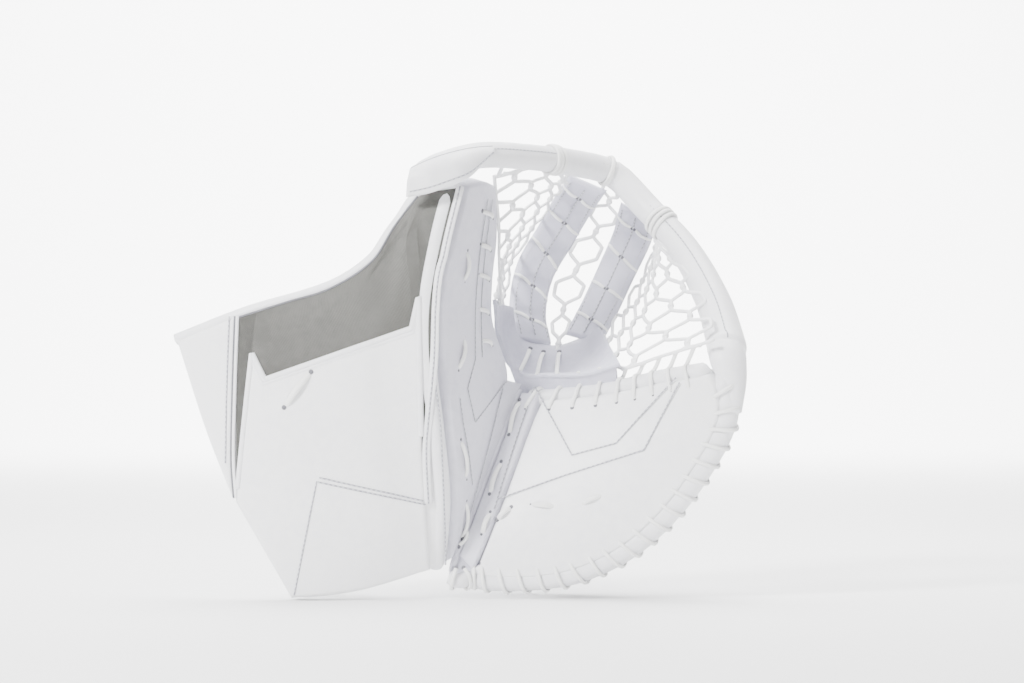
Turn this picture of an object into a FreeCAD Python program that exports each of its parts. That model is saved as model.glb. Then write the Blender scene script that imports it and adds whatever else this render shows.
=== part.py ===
"""Ice hockey goalie catch glove, left hand, opened like a book with its pocket towards -Y.

The glove stands on the low corner of its cuff, its heel and the back of its hand pad.
The thumb and cuff board is the left page, the finger palm is the right page, and the break
is the fold between them. The laced pocket hangs behind the upper half of the fold, between
two leather straps. X runs from the cuff to the fingers, Y from the mouth to the back, Z up.
"""
import FreeCAD
import Part
import math
import os

Vec = FreeCAD.Vector

# Overall sizes, which place every outline point
WIDTH = 408.0
DEPTH = 200.0
HEIGHT = 326.0

# Sheet and pad thicknesses
LEATHER = 2.4
FACE_PANEL = 1.6
BOARD_FOAM = 13.0
BOARD_PLATE = 2.0
LINER = 1.6
PALM_FELT = 8.0
PALM_PLATE = 1.6
WEB_BAND = 3.0
NET_SHEET = 1.6
BACK_FOAM = 12.0
BACK_SKIN = 2.0
STRAP_BAND = 2.4
STRAP_PAD = 7.0
TAPE = 1.6

# Round sections
BEAD_RADIUS = 8.0
BEAD_FAR_RADIUS = 13.0
EDGE_ROLL_RADIUS = 7.5
LACE_RADIUS = 2.0
STALL_WALL = 1.4
THUMB_STALL_RADIUS = 13.0
FINGER_STALL_WIDTH = 44.0
FINGER_STALL_HEIGHT = 26.0

# Widths and gaps
WEB_BAND_WIDTH = 31.0
FOLD_STRIP_WIDTH = 15.0
HAND_SPACE = 42.0
WRIST_STRAP_WIDTH = 64.0
GAP = 0.5
JOINT_GAP = 3.0
EDGE_TUCK = 3.0
EDGE_CLEAR = 3.0
RUN = 16

# Forms
PALM_CROWN = 5.0
CUP_DEPTH = 8.0
STRAP_REACH = 66.0
BACK_TAPER = 0.2

# Shares along an outline
HEEL_SHARE = 0.07
PAGE_START = 0.07
FELT_START = 0.09
STALL_ENDS = (0.34, 0.66)
INDEX_SHARE = 0.8
LITTLE_SHARE = 0.5
TAPER_START = 0.6
HOOK_START = 0.87
WING_SHARE = 0.17
WING_FOOT = 0.3
ACCENT_SHARE = 0.68
SEAM_SHARE = 0.004

# Laces
RIM_LACES = 19
BRIM_LACES = 5
LACE_SWEEP = 190


def at(x, y, z):
    """A point given in percent of the overall width, depth and height."""
    return Vec(x * WIDTH / 100, y * DEPTH / 100, z * HEIGHT / 100)


# ---------------------------------------------------------------- curves and patches

def through(points):
    """A smooth curve through hand-set points, as a function of its share of chord length."""
    knots = [0.0]
    for a, b in zip(points, points[1:]):
        knots.append(knots[-1] + (b - a).Length)
    knots = [k / knots[-1] for k in knots]

    def slope(i):
        lo, hi = max(i - 1, 0), min(i + 1, len(points) - 1)
        return (points[hi] - points[lo]) * (1.0 / (knots[hi] - knots[lo]))

    def curve(t):
        i = max(k for k in range(len(points) - 1) if knots[k] <= t or k == 0)
        step = knots[i + 1] - knots[i]
        s = (t - knots[i]) / step
        a, b = points[i], points[i + 1]
        return (a * (2 * s**3 - 3 * s**2 + 1) + slope(i) * (step * (s**3 - 2 * s**2 + s))
                + b * (-2 * s**3 + 3 * s**2) + slope(i + 1) * (step * (s**3 - s**2)))
    return curve


def coons(bottom, top, left, right):
    """The patch whose four edges are these curves. u runs left to right, v bottom to top."""
    corners = bottom(0), bottom(1), top(0), top(1)

    def patch(u, v):
        ruled = bottom(u) * (1 - v) + top(u) * v + left(v) * (1 - u) + right(v) * u
        flat = (corners[0] * ((1 - u) * (1 - v)) + corners[1] * (u * (1 - v))
                + corners[2] * ((1 - u) * v) + corners[3] * (u * v))
        return ruled - flat
    return patch


def domed(patch, height):
    """The patch pushed out along its normal by a dome of this height."""
    return lambda u, v: patch(u, v) + normal(patch, u, v) * (height * 16 * u * (1 - u) * v * (1 - v))


def part_of(patch, u0, u1, v0, v1):
    """A window of a patch, as a patch of its own."""
    return lambda u, v: patch(u0 + (u1 - u0) * u, v0 + (v1 - v0) * v)


def inset(patch, left=0.0, right=0.0, bottom=0.0, top=0.0, stations=8):
    """The patch with its edges moved in by these lengths."""
    def length(line):
        points = [line(k / stations) for k in range(stations + 1)]
        return sum((q - p).Length for p, q in zip(points, points[1:]))

    across = [length(lambda t, v=k / stations: patch(t, v)) for k in range(stations + 1)]
    along = [length(lambda t, u=k / stations: patch(u, t)) for k in range(stations + 1)]

    def share(lengths, t):
        i = min(int(t * stations), stations - 1)
        return lengths[i] + (lengths[i + 1] - lengths[i]) * (t * stations - i)

    def moved(u, v):
        wide, tall = share(across, v), share(along, u)
        u0, u1 = min(left / wide, 0.4), 1 - min(right / wide, 0.4)
        v0, v1 = min(bottom / tall, 0.4), 1 - min(top / tall, 0.4)
        return patch(u0 + (u1 - u0) * u, v0 + (v1 - v0) * v)
    return moved


def normal(patch, u, v, step=0.01):
    """The unit normal on the side from which u runs right and v runs up."""
    a, b = max(u - step, 0), min(u + step, 1)
    c, d = max(v - step, 0), min(v + step, 1)
    n = (patch(b, v) - patch(a, v)).cross(patch(u, d) - patch(u, c))
    return n.normalize()


def offset(patch, distance):
    """The patch moved along its normal."""
    return lambda u, v: patch(u, v) + normal(patch, u, v) * distance


# ---------------------------------------------------------------- solids

def closed(faces):
    """One valid solid from faces that share their edges."""
    shell = Part.makeShell(faces)
    shell.sewShape()
    solid = Part.Solid(shell)
    if solid.Volume < 0:
        solid.reverse()
    return solid


def face_of(grid):
    """A smooth surface through a grid of points."""
    surface = Part.BSplineSurface()
    surface.interpolate(grid)
    return surface


def between(front, back, nu=RUN, nv=RUN):
    """The solid between two patches with matching edges."""
    def surface(patch):
        return face_of([[patch(i / nu, j / nv) for j in range(nv + 1)] for i in range(nu + 1)])

    one, two = surface(front), surface(back)
    faces = [one.toShape(), two.toShape()]
    for iso, knots in (("uIso", one.bounds()[:2]), ("vIso", one.bounds()[2:])):
        for k, value in enumerate(knots):
            other = two.bounds()[(0 if iso == "uIso" else 2) + k]
            edges = getattr(one, iso)(value).toShape(), getattr(two, iso)(other).toShape()
            faces.append(Part.makeRuledSurface(*edges))
    return closed(faces)


def slab(patch, front, back, nu=RUN, nv=RUN):
    """A sheet or pad between two offsets of a patch. Positive offsets stand in front of it."""
    return between(offset(patch, front), offset(patch, back), nu, nv)


def tangent(curve, t, step=0.01):
    """The unit direction of a curve."""
    return (curve(min(t + step, 1)) - curve(max(t - step, 0))).normalize()


def tube(curve, radius_a, radius_b=None, start=0.0, end=1.0, stations=RUN, up=Vec(0, 1, 0)):
    """A round rod along a curve, its radius going from radius_a to radius_b."""
    radius_b = radius_a if radius_b is None else radius_b
    rings = []
    for i in range(stations + 1):
        t = start + (end - start) * i / stations
        axis = tangent(curve, t)
        ring = Part.Circle(curve(t), axis, radius_a + (radius_b - radius_a) * i / stations)
        ring.XAxis = up.cross(axis).normalize()
        rings.append(Part.Wire([ring.toShape()]))
    return Part.makeLoft(rings, True, False)


def staple(curve, t, ring, facing):
    """One lace whipped over a round edge: part of a ring about the edge, open on the sheet's side."""
    axis = tangent(curve, t)
    loop = Part.makeTorus(ring, LACE_RADIUS, Vec(0, 0, 0), Vec(0, 0, 1), 0, 360, LACE_SWEEP)
    loop.rotate(Vec(0, 0, 0), Vec(0, 0, 1), -LACE_SWEEP / 2)
    x = (facing - axis * facing.dot(axis)).normalize()
    y = axis.cross(x)
    turned = FreeCAD.Matrix(x.x, y.x, axis.x, 0, x.y, y.y, axis.y, 0, x.z, y.z, axis.z, 0)
    loop.Placement = FreeCAD.Placement(turned).multiply(loop.Placement)
    loop.translate(curve(t))
    return loop


def surface_stitch(patch, a, b, lift):
    """One lace lying on a sheet from a to b, given as shares across and up the patch."""
    ends = [patch(*a) + normal(patch, *a) * lift, patch(*b) + normal(patch, *b) * lift]
    run = ends[1] - ends[0]
    return Part.makeCylinder(LACE_RADIUS, run.Length, ends[0], run)


# ---------------------------------------------------------------- outlines

# Each outline runs bottom to top or left to right, in percent of the overall sizes
CORNER_LINE = through([at(-2.5, -33, 6), at(-1.5, -43, 22), at(-2.5, -48, 37), at(-3.7, -49.5, 50),
                       at(-3.9, -49.5, 64), at(-2.2, -47, 77), at(0.5, -43, 91)])
CUFF_END = through([at(-29.5, -39, 0), at(-39.6, -39.5, 22), at(-44.5, -38, 37), at(-50, -33, 57)])
CUFF_BOTTOM = through([at(-29.5, -39, 0), at(-22.5, -40, 0.5), at(-15.5, -39, 2), at(-2.5, -33, 6)])
CUFF_TOP = through([at(-50, -33, 57), at(-37.5, -40, 63), at(-22.5, -43, 68.8), at(-15, -43, 75),
                    at(-11, -41, 82.5), at(-7, -41, 89.2), at(0.5, -43, 91)])

FOLD_START = at(-1.5, -32, 6)
FOLD_MIDDLE = at(11, -9.2, 47)
FOLD_TOP = at(26.5, 18, 96)
THUMB_EDGE = through([FOLD_START, at(4.6, -20.5, 28), at(9, -9, 48), at(6.2, -9, 61), at(6.2, -10.5, 70),
                      at(7, -13, 80), at(6.6, -19, 92.5)])
THUMB_BASE = through([at(-2.5, -33, 6), FOLD_START])
THUMB_TOP = through([at(0.5, -43, 91), at(4.5, -31, 93), at(6.6, -19, 92.5)])

FOLD_EDGE = through([FOLD_START, (FOLD_START + FOLD_MIDDLE) * 0.5, FOLD_MIDDLE])
POCKET_EDGE = through([FOLD_MIDDLE, at(16.5, -16, 47), at(27, -28, 48.5), at(35, -37.5, 50.5),
                       at(44, -46.5, 52)])
OUTER_EDGE = through([FOLD_START, at(3.6, -32, 2.8), at(12.6, -34, 2.3), at(22, -37.5, 4.3),
                      at(30.5, -41.5, 9.7), at(37, -44.5, 17), at(43, -47, 27), at(47.8, -48.5, 39),
                      at(47.5, -48.5, 47), at(44, -46.5, 52)])

BEAD_THUMB = through([at(-7.6, -37, 92.2), at(-3.3, -38, 95), at(3.7, -33, 97.4), at(12, -18, 97.5),
                      at(19.5, -1, 96.9)])
BEAD_TOP = through([at(23.6, 7, 96.2), at(27, 11.5, 95), at(29.6, 11.8, 92.6)])
BEAD_FINGER = through([at(33, 8.5, 87.8), at(40, -4, 77.5), at(44.8, -20, 65.7), at(46.8, -34, 56),
                       at(46.9, -40, 53.3)])
WEB_LINE_THUMB = through([at(13.2, 32, 57.5), at(12.3, 38, 64), at(13.7, 45.7, 73), at(17.5, 46.2, 81.3),
                          at(20.6, 38, 88), at(22.8, 27, 92)])
WEB_LINE_FINGER = through([at(22.6, 31, 58), at(25.4, 36.5, 64.5), at(28.6, 41, 73), at(31.3, 38, 80.5),
                           at(32.3, 29, 85.5)])

BOARD = coons(CUFF_BOTTOM, CUFF_TOP, CUFF_END, CORNER_LINE)
THUMB_PALM = coons(THUMB_BASE, THUMB_TOP, CORNER_LINE, THUMB_EDGE)
FINGER_FAN = coons(lambda t: FOLD_START, POCKET_EDGE, FOLD_EDGE, OUTER_EDGE)
FINGER_PALM = domed(part_of(FINGER_FAN, 0, 1, HEEL_SHARE, 1), PALM_CROWN)
POCKET_CUP = coons(through([at(6.6, -7, 65), at(7.6, -5, 56), at(10.8, -5, 50), at(16, -12, 49.6),
                            at(22.5, -20, 50), at(27.5, -26, 52)]),
                   through([at(9.2, 23, 64), at(9.8, 27, 60), at(12.2, 29, 56.2), at(17, 29, 55),
                            at(21.6, 29, 56.4), at(25.2, 26, 59)]),
                   through([at(6.6, -7, 65), at(7.2, 8, 64.6), at(9.2, 23, 64)]),
                   through([at(27.5, -26, 52), at(27, 0, 54), at(25.2, 26, 59)]))

THUMB_NET = coons(through([at(7.2, -6, 66.5), at(6.4, 12, 67), at(8.2, 32, 67)]),
                  through([at(7.6, -17, 92), at(13, -11, 94), at(17, 5, 93.5), at(18.5, 20, 92)]),
                  through([at(7.2, -6, 66.5), at(7.2, -8, 74), at(7.8, -12, 83), at(7.6, -17, 92)]),
                  through([at(8.2, 32, 67), at(9.4, 41.5, 75), at(13.6, 42.5, 83), at(17, 33, 89.5),
                           at(18.5, 20, 92)]))
MIDDLE_NET = coons(through([at(17.2, 30.5, 56), at(18.5, 30.5, 56.2)]),
                   through([at(26.2, 26, 92), at(28.4, 24, 90)]),
                   through([at(17.2, 30.5, 56), at(16.9, 40.5, 62.5), at(18.2, 47.2, 71.5),
                            at(21.6, 47.2, 80), at(24.6, 39, 87), at(26.2, 26, 92)]),
                   through([at(18.5, 30.5, 56.2), at(20.7, 39.5, 64), at(23.8, 45.2, 73), at(26.9, 42, 81),
                            at(28.9, 32, 87), at(28.4, 24, 90)]))
FINGER_NET = coons(through([at(26.6, 23, 58), at(27.4, 0, 54), at(29.5, -25, 51.5), at(35.5, -34.5, 54),
                            at(40.6, -41, 56)]),
                   through([at(35.6, 22, 85), at(35.2, 14, 83.5), at(34.6, 7, 81.5)]),
                   through([at(26.6, 23, 58), at(29.6, 30.5, 64), at(33.4, 35, 72), at(35.8, 31, 79.5),
                            at(35.6, 22, 85)]),
                   through([at(40.6, -41, 56), at(41.2, -24, 64), at(38.2, -6.5, 74), at(34.6, 7, 81.5)]))


# ---------------------------------------------------------------- pieces

NODES = {}


def add(name, *shapes):
    """Keep a named piece, as one solid or as a group of separate ones."""
    NODES[name] = shapes[0] if len(shapes) == 1 else Part.makeCompound(list(shapes))


def layers(top, *thicknesses, gap=GAP):
    """Front and back offsets of a stack of sheets, each a gap behind the one before."""
    spans = []
    for thickness in thicknesses:
        spans.append((-top, -top - thickness))
        top += thickness + gap
    return spans


def cuff():
    """The stiff one-piece cuff board: outer panels, foam, plate and liner, with a rolled inner edge."""
    board = inset(BOARD, right=2 * EDGE_ROLL_RADIUS + EDGE_CLEAR)
    face, foam, plate, liner = layers(0, FACE_PANEL, BOARD_FOAM, BOARD_PLATE, LINER)

    def seam(v):
        return WING_SHARE * max(v - WING_FOOT, 0) / (1 - WING_FOOT)

    def wing(u, v):
        v = WING_FOOT + 0.1 + (0.9 - WING_FOOT) * v
        return board(seam(v) * u, v)

    def main(u, v):
        start = seam(v) + SEAM_SHARE
        return board(start + (1 - start) * u, v)

    add("cuff_wing_panel", slab(wing, *face, nu=4))
    add("cuff_accent_panel", slab(part_of(main, 0, 1, ACCENT_SHARE + SEAM_SHARE, 1), *face))
    add("cuff_lower_panel", slab(part_of(main, 0, 1, 0, ACCENT_SHARE), *face))
    core = inset(board, left=EDGE_TUCK, bottom=EDGE_TUCK, top=EDGE_TUCK)
    add("cuff_foam", slab(core, *foam))
    add("cuff_plate", slab(core, *plate))
    add("cuff_liner", slab(core, *liner))
    add("cuff_edge_roll", tube(corner_roll, EDGE_ROLL_RADIUS, start=0.02, end=0.94))
    ends = (0.27, ACCENT_SHARE - 0.06), (0.17, ACCENT_SHARE - 0.14)
    add("cuff_tie_lace", surface_stitch(main, *ends, LACE_RADIUS + GAP))


def corner_roll(t):
    """Middle of the rolled edge between the cuff board and the thumb palm."""
    return CORNER_LINE(t) + Vec(-EDGE_ROLL_RADIUS, EDGE_ROLL_RADIUS, 0)


def thumb_page():
    """Thumb side of the palm, with its felt, plate, thumb stall and laces."""
    side = EDGE_ROLL_RADIUS + 1.5 * EDGE_CLEAR
    palm = inset(part_of(THUMB_PALM, 0, 1, 0.1, 0.98), left=side, right=JOINT_GAP)
    leather, felt, plate = layers(0, LEATHER, PALM_FELT, PALM_PLATE)
    core = inset(palm, right=EDGE_TUCK, top=EDGE_TUCK, bottom=EDGE_TUCK)
    add("thumb_palm_leather", slab(palm, *leather))
    add("thumb_palm_felt", slab(core, *felt))
    add("thumb_palm_plate", slab(core, *plate))
    lift = LACE_RADIUS + GAP
    stitches = [((0.07, 0.15), (0.1, 0.22)), ((0.05, 0.35), (0.09, 0.46)),
                ((0.08, 0.5), (0.06, 0.6)), ((0.07, 0.66), (0.09, 0.8)),
                ((0.3, 0.24), (0.42, 0.34)), ((0.34, 0.42), (0.3, 0.5))]
    add("thumb_palm_laces", *[surface_stitch(palm, a, b, lift) for a, b in stitches])
    rows = (0.5, 0.59, 0.67, 0.75, 0.84, 0.93)
    add("thumb_edge_lace", *[surface_stitch(palm, (0.9, v), (0.97, v + 0.012), lift) for v in rows])
    start, end = at(-7.5, -27.5, 44), at(-5.9, -26, 82)
    radius = THUMB_STALL_RADIUS
    outer = Part.makeCylinder(radius + STALL_WALL, (end - start).Length, start, end - start)
    inner = Part.makeCylinder(radius, (end - start).Length - STALL_WALL, start, end - start)
    add("thumb_stall", outer.cut(inner))


def thumb_top():
    """The padded bead from the thumb tip to the top of the pocket, and the cap over its root."""
    add("thumb_bead", tube(BEAD_THUMB, BEAD_RADIUS, up=Vec(0, 0, 1)))
    front = BEAD_RADIUS + LEATHER + 2 * GAP
    low = through([at(-8.5, -40, 87.5), at(-4, -42, 88.5), at(2, -40.5, 91.2), at(7.5, -28, 93.5)])

    def over(t):
        return BEAD_THUMB(0.02 + 0.5 * t) + Vec(-0.35, -0.9, 0.25).normalize() * front
    high = through([over(k / 4) + Vec(0, 0, 3) for k in range(5)])

    def patch(u, v):
        flat = low(u) * (1 - v) + high(u) * v
        return flat + Vec(-3, -15 + 9 * v, 0) + Vec(0, -7, 3) * math.sin(math.pi * v)
    add("thumb_cap", slab(patch, 0, -LEATHER, nv=3))
    add("thumb_net", slab(THUMB_NET, NET_SHEET / 2, -NET_SHEET / 2))


def web_band(line, side):
    """A leather band along a line, its width along side."""
    def patch(u, v):
        axis = tangent(line, v)
        across = (side - axis * side.dot(axis)).normalize()
        return line(v) + across * ((u - 0.5) * WEB_BAND_WIDTH)
    return slab(patch, WEB_BAND / 2, -WEB_BAND / 2, nu=4)


def pocket():
    """The leather cup, the two web bands and the middle net, which turn half as far as the fingers."""
    cup = inset(domed(POCKET_CUP, -CUP_DEPTH), left=JOINT_GAP, right=JOINT_GAP, bottom=JOINT_GAP, top=3 * GAP)
    add("pocket_cup", slab(cup, 0, -LEATHER))
    add("web_band_thumb_side", web_band(WEB_LINE_THUMB, Vec(0.85, 0.27, -0.45)))
    add("web_band_finger_side", web_band(WEB_LINE_FINGER, Vec(0.88, -0.43, -0.22)))
    add("middle_net", slab(MIDDLE_NET, NET_SHEET / 2, -NET_SHEET / 2, nu=4))
    add("pocket_top_roll", tube(BEAD_TOP, BEAD_RADIUS))
    start, end = FOLD_EDGE(0.04), FOLD_EDGE(0.96)
    add("fold_welt", Part.makeCylinder(JOINT_GAP - GAP, (end - start).Length, start, end - start))


def finger_page():
    """Finger side of the palm: fold strip, leather, felt, plate, rolled edges and laces."""
    roll = 2 * EDGE_ROLL_RADIUS
    whole = part_of(FINGER_PALM, 0, 1, PAGE_START, 1)
    page = inset(whole, left=JOINT_GAP + 1, right=roll + EDGE_CLEAR, top=roll + EDGE_CLEAR)
    leather, felt, plate = layers(0, LEATHER, PALM_FELT, PALM_PLATE)
    strip = inset(whole, left=JOINT_GAP + 1, top=roll + EDGE_CLEAR)
    wide = FOLD_STRIP_WIDTH

    def fold(u, v):
        start = strip(0, v)
        way = (strip(0.02, v) - start).normalize()
        return start + way * (wide * u)
    add("fold_strip", slab(fold, *leather, nu=3))
    side = JOINT_GAP + 1 + wide + 3 * GAP
    palm = inset(whole, left=side, right=roll + EDGE_CLEAR, top=roll + EDGE_CLEAR)
    add("finger_palm_leather", slab(palm, *leather))
    core = inset(part_of(page, 0, 1, FELT_START, 1), right=EDGE_CLEAR + 1)
    add("finger_palm_felt", slab(core, *felt))
    add("finger_palm_plate", slab(core, *plate))

    inner = inset(offset(FINGER_PALM, -EDGE_ROLL_RADIUS), right=EDGE_ROLL_RADIUS, top=EDGE_ROLL_RADIUS)

    def rim(t):
        return inner(1, t)

    def brim(t):
        return inner(t, 1)
    add("perimeter_roll", tube(rim, EDGE_ROLL_RADIUS, stations=2 * RUN, end=0.97))
    add("pocket_edge_roll", tube(brim, EDGE_ROLL_RADIUS, start=0.06, end=0.9))
    ring = EDGE_ROLL_RADIUS + LACE_RADIUS + GAP
    loops = []
    for k in range(RIM_LACES):
        t = 0.04 + 0.9 * k / (RIM_LACES - 1)
        out = (inner(1, t) - inner(0.97, t)).normalize()
        loops.append(staple(rim, t, ring, out))
    add("perimeter_lace", *loops)
    loops = []
    for k in range(BRIM_LACES):
        t = 0.12 + 0.72 * k / (BRIM_LACES - 1)
        out = (inner(t, 1) - inner(t, 0.97)).normalize()
        loops.append(staple(brim, t, ring, out))
    add("pocket_edge_lace", *loops)
    lift = LACE_RADIUS + GAP
    stitches = [((0.1, 0.1), (0.2, 0.2)), ((0.3, 0.16), (0.37, 0.17)), ((0.52, 0.2), (0.58, 0.22))]
    add("finger_palm_laces", *[surface_stitch(palm, a, b, lift) for a, b in stitches])
    stitches = [((0.3, 0.75), (0.6, 0.9)), ((0.3, 0.45), (0.6, 0.58)), ((0.4, 0.15), (0.7, 0.28))]
    add("fold_laces", *[surface_stitch(fold, a, b, lift) for a, b in stitches])
    add("finger_bead", tube(BEAD_FINGER, BEAD_RADIUS, BEAD_FAR_RADIUS))
    add("finger_net", slab(FINGER_NET, NET_SHEET / 2, -NET_SHEET / 2))


def hand_back():
    """The pad over the back of the hand, and the finger stalls in front of it."""
    pad = LEATHER + PALM_FELT + PALM_PLATE + 3 * GAP

    def rise(u):
        share = max(u - TAPER_START, 0) / (1 - TAPER_START)
        return 1 - (1 - BACK_TAPER) * (1 - math.cos(math.pi * share)) / 2

    def back(u, v):
        return FINGER_PALM(u, v) - normal(FINGER_PALM, u, v) * (pad + HAND_SPACE * rise(u))
    cover = part_of(back, 0.14, 0.86, 0.2, 0.97)
    liner, foam, skin = layers(0, LINER, BACK_FOAM, BACK_SKIN, gap=2 * GAP)
    add("hand_back_liner", slab(cover, *liner))
    add("hand_back_foam", slab(inset(cover, 3, 3, 3, 3), *foam))
    add("hand_back_shell", slab(cover, *skin))
    depth = pad + 2 + FINGER_STALL_HEIGHT / 2 + STALL_WALL
    for name, v in (("index_finger_stall", INDEX_SHARE), ("little_finger_stall", LITTLE_SHARE)):
        start, end = (offset(FINGER_PALM, -depth)(u, v) for u in STALL_ENDS)
        add(name, oval_stall(start, end, normal(FINGER_PALM, 0.5, v)))


def oval_stall(start, end, face):
    """A flattened sleeve, closed at its end."""
    axis = (end - start).normalize()
    side = axis.cross(face).normalize()
    out = side.cross(axis)

    def oval(wall, length):
        a, b = FINGER_STALL_WIDTH / 2 + wall, FINGER_STALL_HEIGHT / 2 + wall
        ring = Part.Ellipse(start + side * a, start + out * b, start)
        return Part.Face(Part.Wire([ring.toShape()])).extrude(axis * length)
    length = (end - start).Length
    return oval(STALL_WALL, length).cut(oval(0, length - STALL_WALL))


def wrist_strap():
    """The strap over the back of the wrist, hinged at the cuff's lower edge and held by touch tape."""
    stack = FACE_PANEL + BOARD_FOAM + BOARD_PLATE + LINER + 4 * GAP
    tied = LEATHER + 2 * TAPE + 4 * GAP
    rise = through([Vec(0, 5, 0), Vec(6, 0.5 * STRAP_REACH, 0), Vec(30, 0.92 * STRAP_REACH, 0),
                    Vec(62, STRAP_REACH, 0), Vec(92, 0.8 * STRAP_REACH, 0),
                    Vec(112, 0.35 * STRAP_REACH, 0), Vec(126, 9, 0), Vec(140, tied, 0), Vec(166, tied, 0)])

    def base(u, v):
        return BOARD(0.36 + 0.55 * u, 0.1 + 0.85 * v)
    tall = (base(0.5, 1) - base(0.5, 0)).Length
    wide = (base(1, 0.5) - base(0, 0.5)).Length

    def strap(u, v):
        way = rise(v)
        a, b = WRIST_STRAP_WIDTH / wide * u, way.x / tall
        return base(a, b) - normal(base, a, b) * (stack + way.y)

    def landing(u, v):
        return base(WRIST_STRAP_WIDTH / wide * (0.04 + 0.92 * u), (134 + 40 * v) / tall)
    add("strap_band", slab(strap, 0, -STRAP_BAND, nu=4, nv=3 * RUN))
    add("strap_pad", slab(part_of(strap, 0.06, 0.94, 0.2, 0.62), STRAP_PAD + GAP, GAP, nu=4))
    add("strap_hook_tape", slab(part_of(strap, 0.1, 0.9, HOOK_START, 0.99), TAPE + GAP, GAP, nu=4))
    add("strap_landing", slab(landing, -stack, -stack - LEATHER, nu=4, nv=4))
    back = -stack - LEATHER - GAP
    add("strap_loop_tape", slab(inset(landing, 3, 3, 3, 3), back, back - TAPE, nu=4, nv=4))
    print("strap hinge", strap(0, 0), strap(1, 0))


cuff()
thumb_page()
thumb_top()
pocket()
finger_page()
hand_back()
wrist_strap()

os.makedirs("parts", exist_ok=True)
whole = Part.makeCompound(list(NODES.values()))
print("size", whole.BoundBox)
print("fold axis", FOLD_START, FOLD_TOP)
for name, shape in NODES.items():
    if not shape.isValid() or shape.Volume <= 0:
        print("fault in", name)
    shape.exportStep("parts/" + name + ".step")
print(len(NODES), "pieces")
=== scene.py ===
# %% [markdown]
# # An ice hockey goalie's catch glove
# The glove is opened like a book towards us. The stiff cuff and thumb board is the left page, the
# finger palm is the right page, and the laced pocket hangs behind the fold between them. This lesson
# dresses the plain engineering model in leather, felt, thread and lace. Every surface is a function of
# two numbers, u across and v up, worked out for a whole grid at once with numpy.

# %% Load the engineering model
import bpy
import math
import numpy as np
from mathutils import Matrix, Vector


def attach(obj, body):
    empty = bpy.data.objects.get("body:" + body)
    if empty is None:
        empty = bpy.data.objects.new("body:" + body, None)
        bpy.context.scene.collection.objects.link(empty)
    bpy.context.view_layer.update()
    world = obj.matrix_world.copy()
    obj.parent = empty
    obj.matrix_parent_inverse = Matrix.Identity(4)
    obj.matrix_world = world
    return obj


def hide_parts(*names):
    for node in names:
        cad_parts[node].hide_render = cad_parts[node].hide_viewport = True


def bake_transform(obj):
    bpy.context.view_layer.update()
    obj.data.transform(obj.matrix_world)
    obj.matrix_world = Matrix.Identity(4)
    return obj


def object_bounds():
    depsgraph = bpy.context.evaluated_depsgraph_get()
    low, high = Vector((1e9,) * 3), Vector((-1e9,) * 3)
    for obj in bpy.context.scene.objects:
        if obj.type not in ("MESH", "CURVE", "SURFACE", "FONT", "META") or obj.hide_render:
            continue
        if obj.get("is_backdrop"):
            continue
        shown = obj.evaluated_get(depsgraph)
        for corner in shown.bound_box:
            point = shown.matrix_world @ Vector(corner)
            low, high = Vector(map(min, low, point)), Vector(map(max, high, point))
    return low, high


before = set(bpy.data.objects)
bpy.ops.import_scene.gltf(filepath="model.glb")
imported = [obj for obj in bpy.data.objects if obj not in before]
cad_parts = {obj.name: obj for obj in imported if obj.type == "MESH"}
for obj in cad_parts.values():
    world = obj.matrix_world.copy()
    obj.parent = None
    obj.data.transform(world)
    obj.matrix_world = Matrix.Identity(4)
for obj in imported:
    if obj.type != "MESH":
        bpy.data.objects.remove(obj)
cad_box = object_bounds()
WIDTH, DEPTH, HEIGHT = 0.408, 0.200, 0.326
THUMB, POCKET, FINGERS, STRAP = "thumb_side", "pocket", "finger_side", "wrist_strap"
chance = np.random.default_rng(7)
print("model box", cad_box)


# %% [markdown]
# ## Points and curves
# A place on the glove is given in percent of its width, depth and height, as a pattern maker marks a
# blank. A smooth outline runs through a few such points: between two neighbours it is a cubic whose
# slope at each point is the direction from the point before to the point after.

# %% Points and curves
def at(x, y, z):
    """A point from percent of the overall width, depth and height."""
    return np.array([x * WIDTH, y * DEPTH, z * HEIGHT]) / 100


def run_length(points):
    """The length along a row of points, up to each of them."""
    return np.concatenate([[0], np.cumsum(np.linalg.norm(np.diff(points, axis=0), axis=1))])


def through(*points):
    """A smooth curve through points, as a function of the share of chord length, 0 to 1."""
    p = np.array(points, float)
    knots = run_length(p)
    knots /= knots[-1]
    last = len(p) - 1
    lo, hi = np.clip(np.arange(last + 1) - 1, 0, last), np.clip(np.arange(last + 1) + 1, 0, last)
    slope = (p[hi] - p[lo]) / (knots[hi] - knots[lo])[:, None]

    def curve(t):
        t = np.asarray(t, float)
        i = np.clip(np.searchsorted(knots, t, side="right") - 1, 0, last - 1)
        step = (knots[i + 1] - knots[i])[..., None]
        s = (t - knots[i])[..., None] / step
        return (p[i] * (2 * s**3 - 3 * s**2 + 1) + slope[i] * step * (s**3 - 2 * s**2 + s)
                + p[i + 1] * (3 * s**2 - 2 * s**3) + slope[i + 1] * step * (s**3 - s**2))
    return curve


def corners(*points, shares=None):
    """Straight runs between points, as a function of t. shares puts each point at its own t."""
    p = np.array(points, float)
    if shares is None:
        shares = run_length(p)
        shares /= shares[-1]
    return lambda t: np.stack([np.interp(t, shares, p[:, k]) for k in range(p.shape[1])], axis=-1)


# %% [markdown]
# ## Surfaces
# Four edge curves that meet at their ends fix a smooth surface, a Coons patch: the average of the two
# ruled surfaces between opposite edges, less the flat one between the corners. The same formula built
# the engineering model, so these skins lie exactly on it.

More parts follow.
